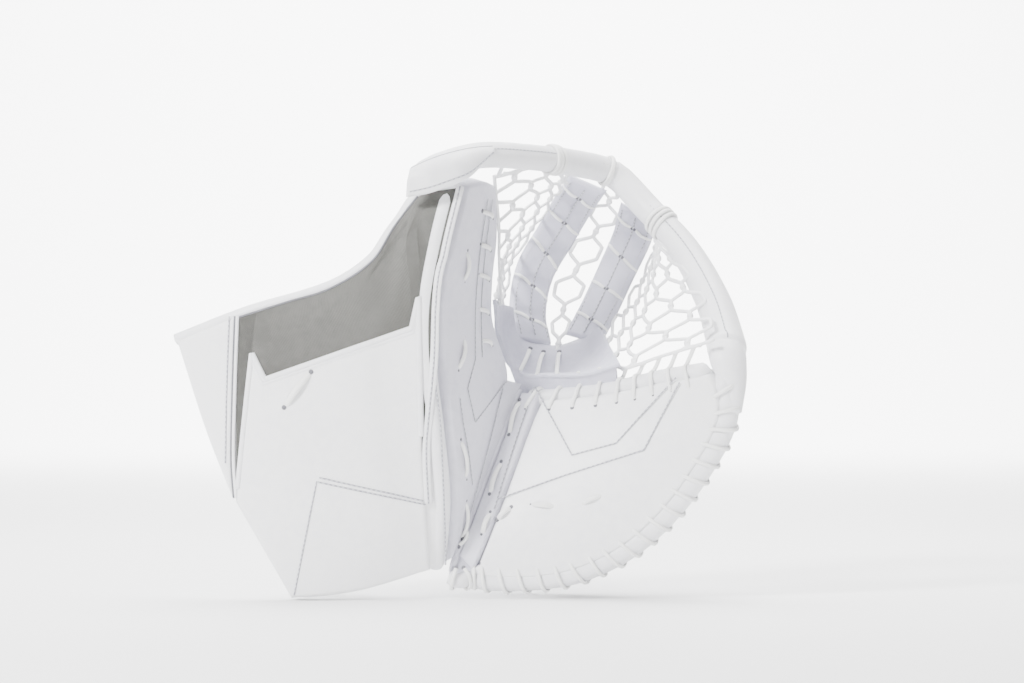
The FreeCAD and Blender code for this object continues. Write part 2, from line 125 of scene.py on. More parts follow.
# %% Surfaces
def coons(bottom, top, left, right):
    """The patch with these edges: ruled across plus ruled up, less the bilinear corner patch."""
    c = [f(k) for f in (bottom, top) for k in (0.0, 1.0)]

    def patch(u, v):
        a, b = np.asarray(u)[..., None], np.asarray(v)[..., None]
        ruled = bottom(u) * (1 - b) + top(u) * b + left(v) * (1 - a) + right(v) * a
        return ruled - (c[0] * (1 - a) * (1 - b) + c[1] * a * (1 - b) + c[2] * (1 - a) * b + c[3] * a * b)
    return patch


def unit(vectors):
    return vectors / np.maximum(np.linalg.norm(vectors, axis=-1, keepdims=True), 1e-12)


def normal(patch, u, v, step=0.01):
    """Unit normal: the cross product of the steps across and up."""
    a, b = np.clip(u - step, 0, 1), np.clip(u + step, 0, 1)
    c, d = np.clip(v - step, 0, 1), np.clip(v + step, 0, 1)
    return unit(np.cross(patch(b, v) - patch(a, v), patch(u, d) - patch(u, c)))


def offset(patch, distance):
    """The patch moved along its normal by a distance, which may itself be a function of u and v."""
    def moved(u, v):
        away = np.asarray(distance(u, v) if callable(distance) else np.full(np.shape(u), float(distance)))
        return patch(u, v) + normal(patch, u, v) * away[..., None]
    return moved


def window(patch, u0, u1, v0, v1):
    """Part of a patch, as a patch of its own."""
    return lambda u, v: patch(u0 + (u1 - u0) * u, v0 + (v1 - v0) * v)


def domed(patch, height):
    """The patch pushed out by a dome: height times 16 u (1-u) v (1-v)."""
    return offset(patch, lambda u, v: height * 16 * u * (1 - u) * v * (1 - v))


def spans(patch):
    """How wide a patch is at a share v, and how tall at a share u, measured along its own lines."""
    k = np.linspace(0, 1, 9)
    grid = patch(*np.meshgrid(k, k))
    wide = np.linalg.norm(np.diff(grid, axis=1), axis=2).sum(axis=1)
    tall = np.linalg.norm(np.diff(grid, axis=0), axis=2).sum(axis=0)
    return lambda v: np.interp(v, k, wide), lambda u: np.interp(u, k, tall)


def inset(patch, left=0.0, right=0.0, bottom=0.0, top=0.0):
    """The patch with its edges moved in by these lengths, but by no more than 0.4 of its span."""
    wide, tall = spans(patch)

    def moved(u, v):
        w, t = wide(v), tall(u)
        u0, u1 = np.minimum(left / w, 0.4), 1 - np.minimum(right / w, 0.4)
        v0, v1 = np.minimum(bottom / t, 0.4), 1 - np.minimum(top / t, 0.4)
        return patch(u0 + (u1 - u0) * u, v0 + (v1 - v0) * v)
    return moved


def grids(u, v):
    """Both shares as arrays of one shape."""
    return np.broadcast_arrays(np.asarray(u, float), np.asarray(v, float))


def quarter_round(distance, rim):
    """The share of full height at a distance from an edge that is rounded over within rim."""
    return np.sqrt(np.clip(1 - (1 - np.clip(distance / rim, 0, 1)) ** 2, 0, 1))


def find(patch, spots, rounds=12):
    """The u and v of the spots on a patch that lie behind places x, z: the nearest of a coarse grid,
    then Newton steps."""
    spots = np.atleast_2d(np.asarray(spots, float))
    k = np.linspace(0, 1, 33)
    gu, gv = np.meshgrid(k, k, indexing="ij")
    grid = patch(gu, gv)[..., [0, 2]].reshape(-1, 2)
    near = ((spots[:, None] - grid[None]) ** 2).sum(axis=2).argmin(axis=1)
    u, v = gu.ravel()[near], gv.ravel()[near]
    h = 1e-4
    for _ in range(rounds):
        here = patch(u, v)[:, [0, 2]]
        du = (patch(u + h, v)[:, [0, 2]] - patch(u - h, v)[:, [0, 2]]) / (2 * h)
        dv = (patch(u, v + h)[:, [0, 2]] - patch(u, v - h)[:, [0, 2]]) / (2 * h)
        miss = spots - here
        det = du[:, 0] * dv[:, 1] - du[:, 1] * dv[:, 0]
        det = np.where(np.abs(det) < 1e-9, 1e-9, det)
        u = np.clip(u + np.clip((miss[:, 0] * dv[:, 1] - miss[:, 1] * dv[:, 0]) / det, -0.1, 0.1), 0, 1)
        v = np.clip(v + np.clip((du[:, 0] * miss[:, 1] - du[:, 1] * miss[:, 0]) / det, -0.1, 0.1), 0, 1)
    return u, v


def spot(x, z):
    """A place in the drawing, from percent of the width and height."""
    return np.array([x * WIDTH, z * HEIGHT]) / 100


# %% [markdown]
# ## The outlines
# These are the pattern lines of the glove: the edges of its board, thumb palm, finger palm, pocket and
# bead. They repeat the engineering model's own lines.

# %% The outlines
CORNER_LINE = through(at(-2.5, -33, 6), at(-1.5, -43, 22), at(-2.5, -48, 37), at(-3.7, -49.5, 50),
                      at(-3.9, -49.5, 64), at(-2.2, -47, 77), at(0.5, -43, 91))
CUFF_END = through(at(-29.5, -39, 0), at(-39.6, -39.5, 22), at(-44.5, -38, 37), at(-50, -33, 57))
CUFF_BOTTOM = through(at(-29.5, -39, 0), at(-22.5, -40, 0.5), at(-15.5, -39, 2), at(-2.5, -33, 6))
CUFF_TOP = through(at(-50, -33, 57), at(-37.5, -40, 63), at(-22.5, -43, 68.8), at(-15, -43, 75),
                   at(-11, -41, 82.5), at(-7, -41, 89.2), at(0.5, -43, 91))
FOLD_START, FOLD_MIDDLE, FOLD_TOP = at(-1.5, -32, 6), at(11, -9.2, 47), at(26.5, 18, 96)
THUMB_EDGE = through(FOLD_START, at(4.6, -20.5, 28), at(9, -9, 48), at(6.2, -9, 61), at(6.2, -10.5, 70),
                     at(7, -13, 80), at(6.6, -19, 92.5))
THUMB_BASE = through(at(-2.5, -33, 6), FOLD_START)
THUMB_TOP = through(at(0.5, -43, 91), at(4.5, -31, 93), at(6.6, -19, 92.5))
FOLD_EDGE = through(FOLD_START, (FOLD_START + FOLD_MIDDLE) / 2, FOLD_MIDDLE)
POCKET_EDGE = through(FOLD_MIDDLE, at(16.5, -16, 47), at(27, -28, 48.5), at(35, -37.5, 50.5),
                      at(44, -46.5, 52))
OUTER_EDGE = through(FOLD_START, at(3.6, -32, 2.8), at(12.6, -34, 2.3), at(22, -37.5, 4.3),
                     at(30.5, -41.5, 9.7), at(37, -44.5, 17), at(43, -47, 27), at(47.8, -48.5, 39),
                     at(47.5, -48.5, 47), at(44, -46.5, 52))
BEAD_THUMB = through(at(-7.6, -37, 92.2), at(-3.3, -38, 95), at(3.7, -33, 97.4), at(12, -18, 97.5),
                     at(19.5, -1, 96.9))
BEAD_TOP = through(at(23.6, 7, 96.2), at(27, 11.5, 95), at(29.6, 11.8, 92.6))
BEAD_FINGER = through(at(33, 8.5, 87.8), at(40, -4, 77.5), at(44.8, -20, 65.7), at(46.8, -34, 56),
                      at(46.9, -40, 53.3))
BOARD = coons(CUFF_BOTTOM, CUFF_TOP, CUFF_END, CORNER_LINE)
THUMB_PALM = coons(THUMB_BASE, THUMB_TOP, CORNER_LINE, THUMB_EDGE)
FOLD_POINT = lambda t: np.broadcast_to(FOLD_START, (*np.shape(t), 3))
FINGER_FAN = coons(FOLD_POINT, POCKET_EDGE, FOLD_EDGE, OUTER_EDGE)
FINGER_PALM = domed(window(FINGER_FAN, 0, 1, 0.07, 1), 0.005)


# %% [markdown]
# ## Meshes
# A grid of points becomes a mesh of quads. Its UV map is in metres, counted along the grid's lines, so
# a weave or a thread keeps its real size. A closed skin is a front grid and a back grid joined round
# the rim, and a rod is a ring carried along a path.

# %% Meshes
def link(name, data):
    """A new object that holds this data, put into the scene."""
    made = bpy.data.objects.new(name, data)
    bpy.context.collection.objects.link(made)
    return made


def add_mesh(name, points, faces, uv=None):
    """One object from points and quads. uv holds one pair for each point."""
    mesh = bpy.data.meshes.new(name)
    mesh.from_pydata([], [], [])
    points, faces = np.asarray(points, np.float32), np.asarray(faces, np.int32)
    size = faces.shape[1]
    mesh.vertices.add(len(points))
    mesh.vertices.foreach_set("co", points.ravel())
    mesh.loops.add(faces.size)
    mesh.loops.foreach_set("vertex_index", faces.ravel())
    mesh.polygons.add(len(faces))
    mesh.polygons.foreach_set("loop_start", np.arange(0, faces.size, size, dtype=np.int32))
    mesh.polygons.foreach_set("use_smooth", np.ones(len(faces), bool))
    if uv is not None:
        layer = mesh.uv_layers.new(name="UVMap")
        layer.data.foreach_set("uv", np.asarray(uv, np.float32)[faces.ravel()].ravel())
    mesh.update(calc_edges=True)
    mesh.validate()
    return link(name, mesh)


def quads(nu, nv, start=0, loop_u=False, loop_v=False, turn=False):
    """The quads of an nu by nv grid of points, numbered row by row, closed round if asked."""
    i, j = np.arange(nu if loop_u else nu - 1), np.arange(nv if loop_v else nv - 1)
    i, j = [k.ravel() for k in np.meshgrid(i, j, indexing="ij")]
    i2, j2 = (i + 1) % nu, (j + 1) % nv
    f = np.stack([i * nv + j, i2 * nv + j, i2 * nv + j2, i * nv + j2], axis=1) + start
    return f[:, ::-1] if turn else f


def metric_uv(grid):
    """UV in metres: the mean length of the grid's lines up to each point."""
    a = np.concatenate([[0], np.cumsum(np.linalg.norm(np.diff(grid, axis=0), axis=2).mean(axis=1))])
    b = np.concatenate([[0], np.cumsum(np.linalg.norm(np.diff(grid, axis=1), axis=2).mean(axis=0))])
    return np.stack(np.meshgrid(a, b, indexing="ij"), axis=-1).reshape(-1, 2)


def shell(name, f, b):
    """A closed skin between two grids of points, front and back, joined by a rim of quads."""
    nu, nv = f.shape[:2]
    n = nu * nv
    faces = [quads(nu, nv), quads(nu, nv, n, turn=True)]
    k = np.arange(n).reshape(nu, nv)
    ring = np.concatenate([k[:, 0], k[-1, 1:], k[-2::-1, -1], k[0, -2:0:-1]])
    after = np.roll(ring, -1)
    faces.append(np.stack([ring, ring + n, after + n, after], axis=1))
    uv = metric_uv(f)
    return add_mesh(name, np.concatenate([f.reshape(-1, 3), b.reshape(-1, 3)]),
                    np.concatenate(faces), np.concatenate([uv, uv]))


def skin(name, front, back, nu, nv):
    """A shell between two surfaces, worked out on a grid that is finer towards its edges."""
    u, v = np.meshgrid(spread(nu), spread(nv), indexing="ij")
    return shell(name, front(u, v), back(u, v))


def spread(n, marks=(), edge=0.6):
    """n + 1 shares from 0 to 1, closer together near the ends, with the marks exactly among them."""
    t = np.linspace(0, 1, n + 1)
    t = t - edge * np.sin(2 * np.pi * t) / (2 * np.pi)
    for mark in marks:
        t[np.abs(t - mark).argmin()] = mark
    return t


def cushion(patch, low, high, rim, puff=0.0):
    """Front and back of a stuffed panel. Its face rises from low at its edge to high within the width
    rim, along a quarter circle, and a further puff in the middle. Its back stays at low."""
    wide, tall = spans(patch)

    def rise(u, v):
        w, t = wide(v), tall(u)
        round_off = np.ones(np.shape(u))
        for distance in (u * w, (1 - u) * w, v * t, (1 - v) * t):
            round_off = round_off * quarter_round(distance, rim)
        return low + (high - low) * round_off + puff * 16 * u * (1 - u) * v * (1 - v)
    return offset(patch, rise), offset(patch, low)


TIP = 0.4     # a rod's end stands out by this share of its radius


def sweep(path, radius, sides=12, flat=1.0, up=(0.0, 1.0, 0.0), closed=False):
    """A rod: a ring of points carried along a path. radius may change along it, and flat squashes the
    ring towards up."""
    path = np.asarray(path, float)
    n = len(path)
    way = unit(np.gradient(path, axis=0) if not closed else np.roll(path, -1, 0) - np.roll(path, 1, 0))
    side = unit(np.cross(np.broadcast_to(np.asarray(up, float), way.shape), way))
    lift = np.cross(way, side)
    radius = np.broadcast_to(np.asarray(radius, float), (n,))[:, None, None]
    a = np.linspace(0, 2 * np.pi, sides, endpoint=False)
    ring = np.cos(a)[None, :, None] * side[:, None] + flat * np.sin(a)[None, :, None] * lift[:, None]
    points = path[:, None] + radius * ring
    faces = quads(n, sides, loop_u=closed, loop_v=True, turn=True)
    run = run_length(path)
    uv = np.stack(np.meshgrid(run, a / (2 * np.pi), indexing="ij"), axis=-1).reshape(-1, 2)
    points = points.reshape(-1, 3)
    if closed:
        return points, faces, None, uv
    points = np.concatenate([points, path[:1] - way[:1] * radius[0, 0] * TIP,
                             path[-1:] + way[-1:] * radius[-1, 0] * TIP])
    uv = np.concatenate([uv, uv[:1], uv[-1:]])
    k = np.arange(sides)
    base = (n - 1) * sides
    first = np.stack([(k + 1) % sides, k, np.full(sides, n * sides)], axis=1)
    last = np.stack([base + k, base + (k + 1) % sides, np.full(sides, n * sides + 1)], axis=1)
    return points, faces, np.concatenate([first, last]), uv


def build(name, parts):
    """One object from many rods or blobs, each given as points, quads, triangles and UV."""
    points, faces, uvs, start = [], [], [], 0
    for p, f, t, uv in parts:
        points.append(p)
        uvs.append(uv)
        faces += (f + start).tolist()
        if t is not None:
            faces += (t + start).tolist()
        start += len(p)
    mesh = bpy.data.meshes.new(name)
    mesh.from_pydata(np.concatenate(points).tolist(), [], faces)
    layer = mesh.uv_layers.new(name="UVMap")
    index = np.empty(len(mesh.loops), np.int32)
    mesh.loops.foreach_get("vertex_index", index)
    layer.data.foreach_set("uv", np.concatenate(uvs)[index].astype(np.float32).ravel())
    mesh.polygons.foreach_set("use_smooth", np.ones(len(mesh.polygons), bool))
    mesh.update()
    return link(name, mesh)


SLOTS = {"accent_satin": "accent_panel", "lace_cord": "lace", "thread": "lace",
         "net_cord": "skate_lace_net", "seam_shadow": "stiffener", "needle_groove": "white_leather",
         "lining_cloth": "liner_fabric"}


def dress(piece, material, body, *nodes, slot=None, fill=None):
    """Gives a piece its material and its body, and hides the CAD nodes that it stands for. A body given as
    two bodies and two points only bakes the piece in place. The slot is worked out, the finish's own unless
    one is named, but not kept. fill is not used."""
    piece.data.materials.clear()
    piece.data.materials.append(material)
    if isinstance(body, tuple):
        tuple(body[2])
        tuple(body[3])
        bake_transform(piece)
    else:
        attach(piece, body)
    own = material.name.partition(".")[0]
    slot or SLOTS.get(own, own)
    if nodes:
        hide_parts(*nodes)
    return piece


def rod(name, path, radius, sides, material, body, *nodes, slot=None, fill=None, **shape):
    """One swept rod, dressed as a piece of its own."""
    piece = build(name, [sweep(path, radius, sides, **shape)])
    return dress(piece, material, body, *nodes, slot=slot, fill=fill)


def drawn_in(t, first, last, power, least=0.05):
    """Shares of a rod's full size: smaller within first of its start and within last of its end."""
    return np.clip(np.minimum(t / first, (1 - t) / last), least, 1) ** power


# %% [markdown]
# ## Floor, light and camera
# White leather on white needs soft light from several sides, or its folds vanish. The floor is a wide
# bowl that curves up into its wall, so no line crosses the picture from any side. The camera stands
# low and square to the glove, far off, as a product picture is taken.

# %% Floor, light and camera
def studio():
    """A wide round bowl, the same from every side. Its profile is a line, a quarter circle of 1 m and a
    line, turned about Z. It lies just under the glove."""
    flat, high, below, sides = 4.2, 2.6, 0.0004, 96
    bend = np.linspace(0, np.pi / 2, 24)
    reach = np.concatenate([[0.001, 2.0], flat + np.sin(bend), [flat + 1]])
    z = np.concatenate([[0.0, 0.0], 1.0 - np.cos(bend), [high]]) - below
    turn = np.linspace(0, 2 * np.pi, sides, endpoint=False)[:, None]
    grid = np.stack([reach * np.cos(turn), reach * np.sin(turn), 0 * turn + z], axis=-1)
    bowl = add_mesh("studio_floor", grid.reshape(-1, 3), quads(sides, len(z), loop_u=True, turn=True))
    bowl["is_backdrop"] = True
    return bowl


def lamp(name, place, aim, size, power):
    """A soft square light at place, turned to face aim."""
    light = bpy.data.lights.new(name, "AREA")
    light.size, light.energy = size, power
    holder = link(name, light)
    holder.location = place
    holder.rotation_euler = (Vector(aim) - Vector(place)).to_track_quat("-Z", "Y").to_euler()


floor = studio()
lamp("key", (-1.3, -1.5, 1.4), (0, 0, 0.17), 0.45, 118)
lamp("fill", (1.2, -2.2, 0.7), (0, 0, 0.15), 1.2, 7)
lamp("top", (0.3, 0.0, 1.9), (0, 0, 0.15), 0.7, 40)
lamp("wall", (0.0, 3.4, 2.4), (0, 5.2, 0.6), 2.0, 520)
lamp("ground", (0.0, 0.9, 1.6), (0, 1.5, 0.0), 1.6, 100)
world = bpy.data.worlds.new("studio")
bpy.context.scene.world = world
world.use_nodes = True
sky = world.node_tree.nodes["Background"].inputs
sky["Color"].default_value, sky["Strength"].default_value = (1.0, 1.0, 1.0, 1.0), 0.44
lens = bpy.data.cameras.new("view")
lens.sensor_width, lens.lens = 36.0, 129.3
camera = link("view", lens)
camera.location, camera.rotation_euler = (0.0378, -2.7, 0.1842), (math.radians(90), 0, 0)
bpy.context.scene.camera = camera
print("camera", tuple(camera.location), "lens", lens.lens)


# %% [markdown]
# ## Node groups
# Three effects turn up in many finishes. Leather grain is small cells between creases, over slow
# waves where the hide stretched. Weave is threads that pass over and under. Wear tints a colour in
# soft patches. Each is one group with its own inputs, and puts out only heights, masks and colours.

# %% Node groups
def node(tree, kind, inputs=None, **settings):
    """One node: settings are its properties, and inputs are values or sockets to link."""
    made = tree.nodes.new(kind)
    for key, value in settings.items():
        setattr(made, key, value)
    for key, value in (inputs or {}).items():
        if isinstance(value, bpy.types.NodeSocket):
            tree.links.new(value, made.inputs[key])
        else:
            made.inputs[key].default_value = value
    return made


def group(name, inputs, outputs):
    """An empty group with these sockets, with its input and output nodes."""
    tree = bpy.data.node_groups.new(name, "ShaderNodeTree")
    for label, kind, value in inputs:
        socket = tree.interface.new_socket(label, in_out="INPUT", socket_type="NodeSocket" + kind)
        if value is not None:
            socket.default_value = value
    for label, kind in outputs:
        tree.interface.new_socket(label, in_out="OUTPUT", socket_type="NodeSocket" + kind)
    return tree, tree.nodes.new("NodeGroupInput").outputs, tree.nodes.new("NodeGroupOutput").inputs


def math_node(tree, what, a, b=0.0):
    return node(tree, "ShaderNodeMath", {0: a, 1: b}, operation=what).outputs[0]


def make_grain():
    """Height is the distance to the nearest cell edge, plus slow waves. Crease marks the edges."""
    tree, given, out = group("leather grain", [("Vector", "Vector", None), ("Cells", "Float", 900.0),
                             ("Waves", "Float", 30.0)], [("Height", "Float"), ("Crease", "Float")])
    cells = node(tree, "ShaderNodeTexVoronoi", {"Vector": given["Vector"], "Scale": given["Cells"]},
                 feature="DISTANCE_TO_EDGE").outputs["Distance"]
    waves = node(tree, "ShaderNodeTexNoise", {"Vector": given["Vector"], "Scale": given["Waves"],
                 "Detail": 3.0}).outputs["Fac"]
    pebble = node(tree, "ShaderNodeMapRange", {"Value": cells, "From Max": 0.12}).outputs[0]
    mixed = math_node(tree, "ADD", math_node(tree, "MULTIPLY", pebble, 0.35), waves)
    tree.links.new(mixed, out["Height"])
    tree.links.new(math_node(tree, "SUBTRACT", 1.0, pebble), out["Crease"])
    return tree


def make_weave():
    """Two sets of threads that cross: height is the larger of sin (U + V) and sin (U - V)."""
    tree, given, out = group("weave", [("Vector", "Vector", None), ("Across", "Float", 1200.0),
                             ("Along", "Float", 1200.0)], [("Height", "Float")])
    axes = node(tree, "ShaderNodeSeparateXYZ", {0: given["Vector"]}).outputs
    turn = 2 * math.pi
    a = math_node(tree, "MULTIPLY", math_node(tree, "MULTIPLY", axes[0], given["Across"]), turn)
    b = math_node(tree, "MULTIPLY", math_node(tree, "MULTIPLY", axes[1], given["Along"]), turn)
    one = math_node(tree, "SINE", math_node(tree, "ADD", a, b))
    other = math_node(tree, "SINE", math_node(tree, "SUBTRACT", a, b))
    higher = math_node(tree, "ADD", math_node(tree, "MAXIMUM", one, other), 1.0)
    tree.links.new(math_node(tree, "MULTIPLY", higher, 0.5), out["Height"])
    return tree


def make_wear():
    """Colour goes from Clean to Worn where two sizes of noise are both high, by Amount."""
    tree, given, out = group("wear", [("Vector", "Vector", None), ("Clean", "Color", (1, 1, 1, 1)),
                             ("Worn", "Color", (0.8, 0.8, 0.8, 1)), ("Amount", "Float", 0.5)],
                             [("Color", "Color"), ("Mask", "Float")])
    big = node(tree, "ShaderNodeTexNoise", {"Vector": given["Vector"], "Scale": 14.0, "Detail": 4.0})
    small = node(tree, "ShaderNodeTexNoise", {"Vector": given["Vector"], "Scale": 160.0, "Detail": 3.0})
    both = math_node(tree, "MULTIPLY", big.outputs["Fac"], small.outputs["Fac"])
    mask = node(tree, "ShaderNodeMapRange", {"Value": both, "From Min": 0.2, "From Max": 0.4}).outputs[0]
    fac = math_node(tree, "MULTIPLY", mask, given["Amount"])
    mix = node(tree, "ShaderNodeMix", {"Factor": fac}, data_type="RGBA")
    tree.links.new(given["Clean"], mix.inputs[6])
    tree.links.new(given["Worn"], mix.inputs[7])
    tree.links.new(mix.outputs[2], out["Color"])
    tree.links.new(mask, out["Mask"])
    return tree


GRAIN, WEAVE, WEAR = make_grain(), make_weave(), make_wear()


# %% [markdown]
# ## Finishes
# A finish is a Principled shader with its constants set on its own sockets, fed by the groups. Leather
# takes grain and wear from Object coordinates, so it runs unbroken over a piece. Cloth, lace and
# thread take their weave from the UV map, which is in metres along the piece.

# %% Finishes
def finish(name, clean, worn, amount, rough, texture, distance, sheen=0.0, coat=0.0, uv=False, **sizes):
    """A material: colour from the wear group, bump and roughness from the texture group."""
    material = bpy.data.materials.new(name)
    material.use_nodes = True
    tree = material.node_tree
    shader = tree.nodes["Principled BSDF"]
    shader.inputs["Sheen Weight"].default_value = sheen
    shader.inputs["Coat Weight"].default_value = coat
    shader.inputs["Coat Roughness"].default_value = 0.35
    place = node(tree, "ShaderNodeTexCoord").outputs
    where = place["UV"] if uv else place["Object"]
    relief = node(tree, "ShaderNodeGroup", node_tree=texture)
    tree.links.new(where, relief.inputs["Vector"])
    for key, value in sizes.items():
        relief.inputs[key].default_value = value
    worn_look = node(tree, "ShaderNodeGroup", node_tree=WEAR)
    tree.links.new(place["Object"], worn_look.inputs["Vector"])
    worn_look.inputs["Clean"].default_value = (*clean, 1)
    worn_look.inputs["Worn"].default_value = (*worn, 1)
    worn_look.inputs["Amount"].default_value = amount
    tree.links.new(worn_look.outputs["Color"], shader.inputs["Base Color"])
    gloss = node(tree, "ShaderNodeMapRange", {"Value": worn_look.outputs["Mask"], "To Min": rough - 0.05,
                 "To Max": rough + 0.09}).outputs[0]
    tree.links.new(gloss, shader.inputs["Roughness"])
    bump = node(tree, "ShaderNodeBump", {"Height": relief.outputs["Height"], "Distance": distance,
                "Strength": 0.6})
    tree.links.new(bump.outputs[0], shader.inputs["Normal"])
    return material


white_leather = finish("white_leather", (0.88, 0.88, 0.89), (0.80, 0.80, 0.825), 0.55, 0.4, GRAIN, 0.0004,
                       coat=0.08, Cells=1000.0, Waves=24.0)
# Painted shade: the palm leather is a darker lilac grey, for the shade on the thumb palm, the fold and the
# heel.
palm_leather = finish("palm_leather", (0.66, 0.655, 0.73), (0.57, 0.565, 0.65), 0.6, 0.44, GRAIN, 0.0005,
                      Cells=850.0, Waves=34.0)
edge_leather = finish("edge_leather", (0.87, 0.87, 0.89), (0.79, 0.79, 0.825), 0.55, 0.38, GRAIN, 0.0006,
                      coat=0.1, Cells=1100.0, Waves=45.0)
# Painted shade: the pocket leather is darker still, for the shade inside the pocket and on the web bands.
pocket_leather = finish("pocket_leather", (0.56, 0.555, 0.65), (0.47, 0.465, 0.57), 0.6, 0.46, GRAIN, 0.0006,
                        Cells=850.0, Waves=40.0)
accent_satin = finish("accent_satin", (0.088, 0.087, 0.079), (0.066, 0.065, 0.060), 0.5, 0.42, WEAVE, 0.0002,
                      sheen=0.1, Across=900.0, Along=260.0, uv=True)
accent_satin.node_tree.nodes["Principled BSDF"].inputs["Metallic"].default_value = 0.3
lace_cord = finish("lace_cord", (0.88, 0.88, 0.87), (0.78, 0.78, 0.76), 0.5, 0.62, WEAVE, 0.0003,
                   sheen=0.2, Across=700.0, Along=4.0, uv=True)
net_cord = finish("net_cord", (0.88, 0.88, 0.89), (0.79, 0.79, 0.82), 0.5, 0.6, WEAVE, 0.0003,
                  sheen=0.2, Across=800.0, Along=3.0, uv=True)
thread = finish("thread", (0.60, 0.60, 0.64), (0.50, 0.50, 0.55), 0.4, 0.55, WEAVE, 0.0001,
                Across=3000.0, Along=3.0, uv=True)
seam_shadow = finish("seam_shadow", (0.16, 0.16, 0.18), (0.10, 0.10, 0.11), 0.6, 0.8, GRAIN, 0.0002)
# Painted shade: the groove colour is the shade in the grooves that the seams lie in.
needle_groove = finish("needle_groove", (0.34, 0.34, 0.38), (0.27, 0.27, 0.31), 0.6, 0.75, GRAIN, 0.0002)
lining_cloth = finish("lining_cloth", (0.30, 0.31, 0.34), (0.23, 0.24, 0.27), 0.6, 0.75, WEAVE, 0.0004,
                      sheen=0.3, Across=420.0, Along=420.0, uv=True)
grip_tape = finish("grip_tape", (0.10, 0.10, 0.11), (0.06, 0.06, 0.07), 0.5, 0.85, WEAVE, 0.0006,
                   sheen=0.5, Across=650.0, Along=650.0, uv=True)
floor_paint = finish("floor_paint", (0.92, 0.92, 0.92), (0.91, 0.91, 0.91), 0.2, 0.7, GRAIN, 0.0001,
                     Cells=40.0)
floor.data.materials.append(floor_paint)
print(len(bpy.data.materials), "finishes")


# %% [markdown]
# ## Lines, stitches and laces
# A sewn line is many short capsules of thread over a thin dark rod that paints the shade of its groove.
# A lace is one arch of cord that dives into a hole at each end, and each hole is a dark disc of painted
# shadow. Both follow a drawn line: marks in percent of width and height, put onto a surface by finding the
# spot behind each one.

# %% Lines, stitches and laces
def drawn(patch, marks, lift=0.0, smooth=True, gap=0.003):
    """Points and normals along a line drawn on a patch, about gap apart."""
    flat = [spot(*m) for m in marks]
    line = through(*flat) if smooth else corners(*flat)
    t = np.linspace(0, 1, 200)
    length = np.linalg.norm(np.diff(line(t), axis=0), axis=1).sum()
    t = np.linspace(0, 1, max(int(length / gap), 3))
    a, b = find(patch, line(t))
    n = normal(patch, a, b)
    return patch(a, b) + n * lift, n


def traced(patch, us, vs, lift=0.0):
    """Points and normals along a line given in shares of the patch."""
    us, vs = grids(us, vs)
    n = normal(patch, us, vs)
    return patch(us, vs) + n * lift, n


def stitch_part(path, normals, pitch=0.0036, share=0.66, radius=0.00042):
    """Thread: at every pitch along the path, a capsule of four rings of five points."""
    run = run_length(path)
    starts = np.arange(pitch * 0.3, run[-1] - pitch * share, pitch)
    pick = lambda s, data: np.stack([np.interp(s, run, data[:, k]) for k in range(3)], axis=-1)
    a, b, n = pick(starts, path), pick(starts + pitch * share, path), unit(pick(starts, normals))
    way = unit(b - a)
    side = np.cross(way, n)
    along, size = np.array([0, 0.2, 0.8, 1]), np.array([0.4, 1, 1, 0.4])
    high = np.array([-0.7, 0.3, 0.3, -0.7]) * radius
    turn = np.linspace(0, 2 * np.pi, 5, endpoint=False)
    ring = np.cos(turn)[None, :, None] * side[:, None] + np.sin(turn)[None, :, None] * n[:, None]
    points = a[:, None] + (b - a)[:, None] * along[None, :, None] + n[:, None] * high[None, :, None]
    points = points[:, :, None] + ring[:, None] * (size * radius)[None, :, None, None]
    one = quads(4, 5, loop_v=True)
    first = 20 * np.arange(len(starts))[:, None]
    faces = (one[None] + first[..., None]).reshape(-1, 4)
    k = np.arange(5)
    ends = np.concatenate([k[None] + first, 15 + k[::-1][None] + first])
    uv = np.stack(np.meshgrid(along * pitch, turn / 6.3, indexing="ij"), -1).reshape(-1, 2)
    uv = np.tile(uv, (len(starts), 1))
    return points.reshape(-1, 3), faces[:, ::-1], ends[:, ::-1], uv


def groove_shade_part(path, normals, width=0.00055):
    """The shade in the groove that a seam lies in, painted: a thin flat dark rod, barely proud of the
    leather.
    """
    return sweep(path + normals * 0.00002, width, 6, flat=0.2, up=normals)


def arch(a, b, na, nb, high, dip=0.0022, n=15):
    """A lace from a to b: straight between them, raised by a rounded hump, its ends below the skin."""
    t = np.linspace(0, 1, n)[:, None]
    up = unit(na * (1 - t) + nb * t)
    return a * (1 - t) + b * t + up * (-dip + (high + dip) * np.sin(np.pi * t) ** 0.55), up


def eyelet_part(point, n, radius=0.0018):
    """A punched hole as painted shadow: a low dark disc, just proud of the leather."""
    return sweep(point + n * np.array([[-0.001], [0.0], [0.00025]]), radius, 10, up=(0.31, 0.12, 0.94))


def sew(name, body, lines):
    """Thread, and the painted shade of its grooves, for several lines, as two pieces on one body."""
    dress(build(name, [stitch_part(p, n) for p, n in lines]), thread, body)
    dress(build(name + "_groove", [groove_shade_part(p, n) for p, n in lines]), needle_groove, body)


def tie(name, body, laces, *nodes, ending=""):
    """Laces, each with its list of holes, as a piece of cord and a piece of holes."""
    dress(build(name + ending, [lace for lace, _ in laces]), lace_cord, body, *nodes)
    dress(build(name + "_holes", [hole for _, holes in laces for hole in holes]), seam_shadow, body)


def lace_up(name, body, runs, *nodes, radius=0.0019, high=0.0030):
    """Laces for pairs of points and normals, and the holes that they dive into."""
    laces = []
    for (a, na), (b, nb) in runs:
        path, up = arch(a, b, na, nb, high)
        way = unit(b - a) * 0.001
        laces.append((sweep(path, radius, 8, flat=0.62, up=up),
                      [eyelet_part(a - way, na), eyelet_part(b + way, nb)]))
    tie(name, body, laces, *nodes)


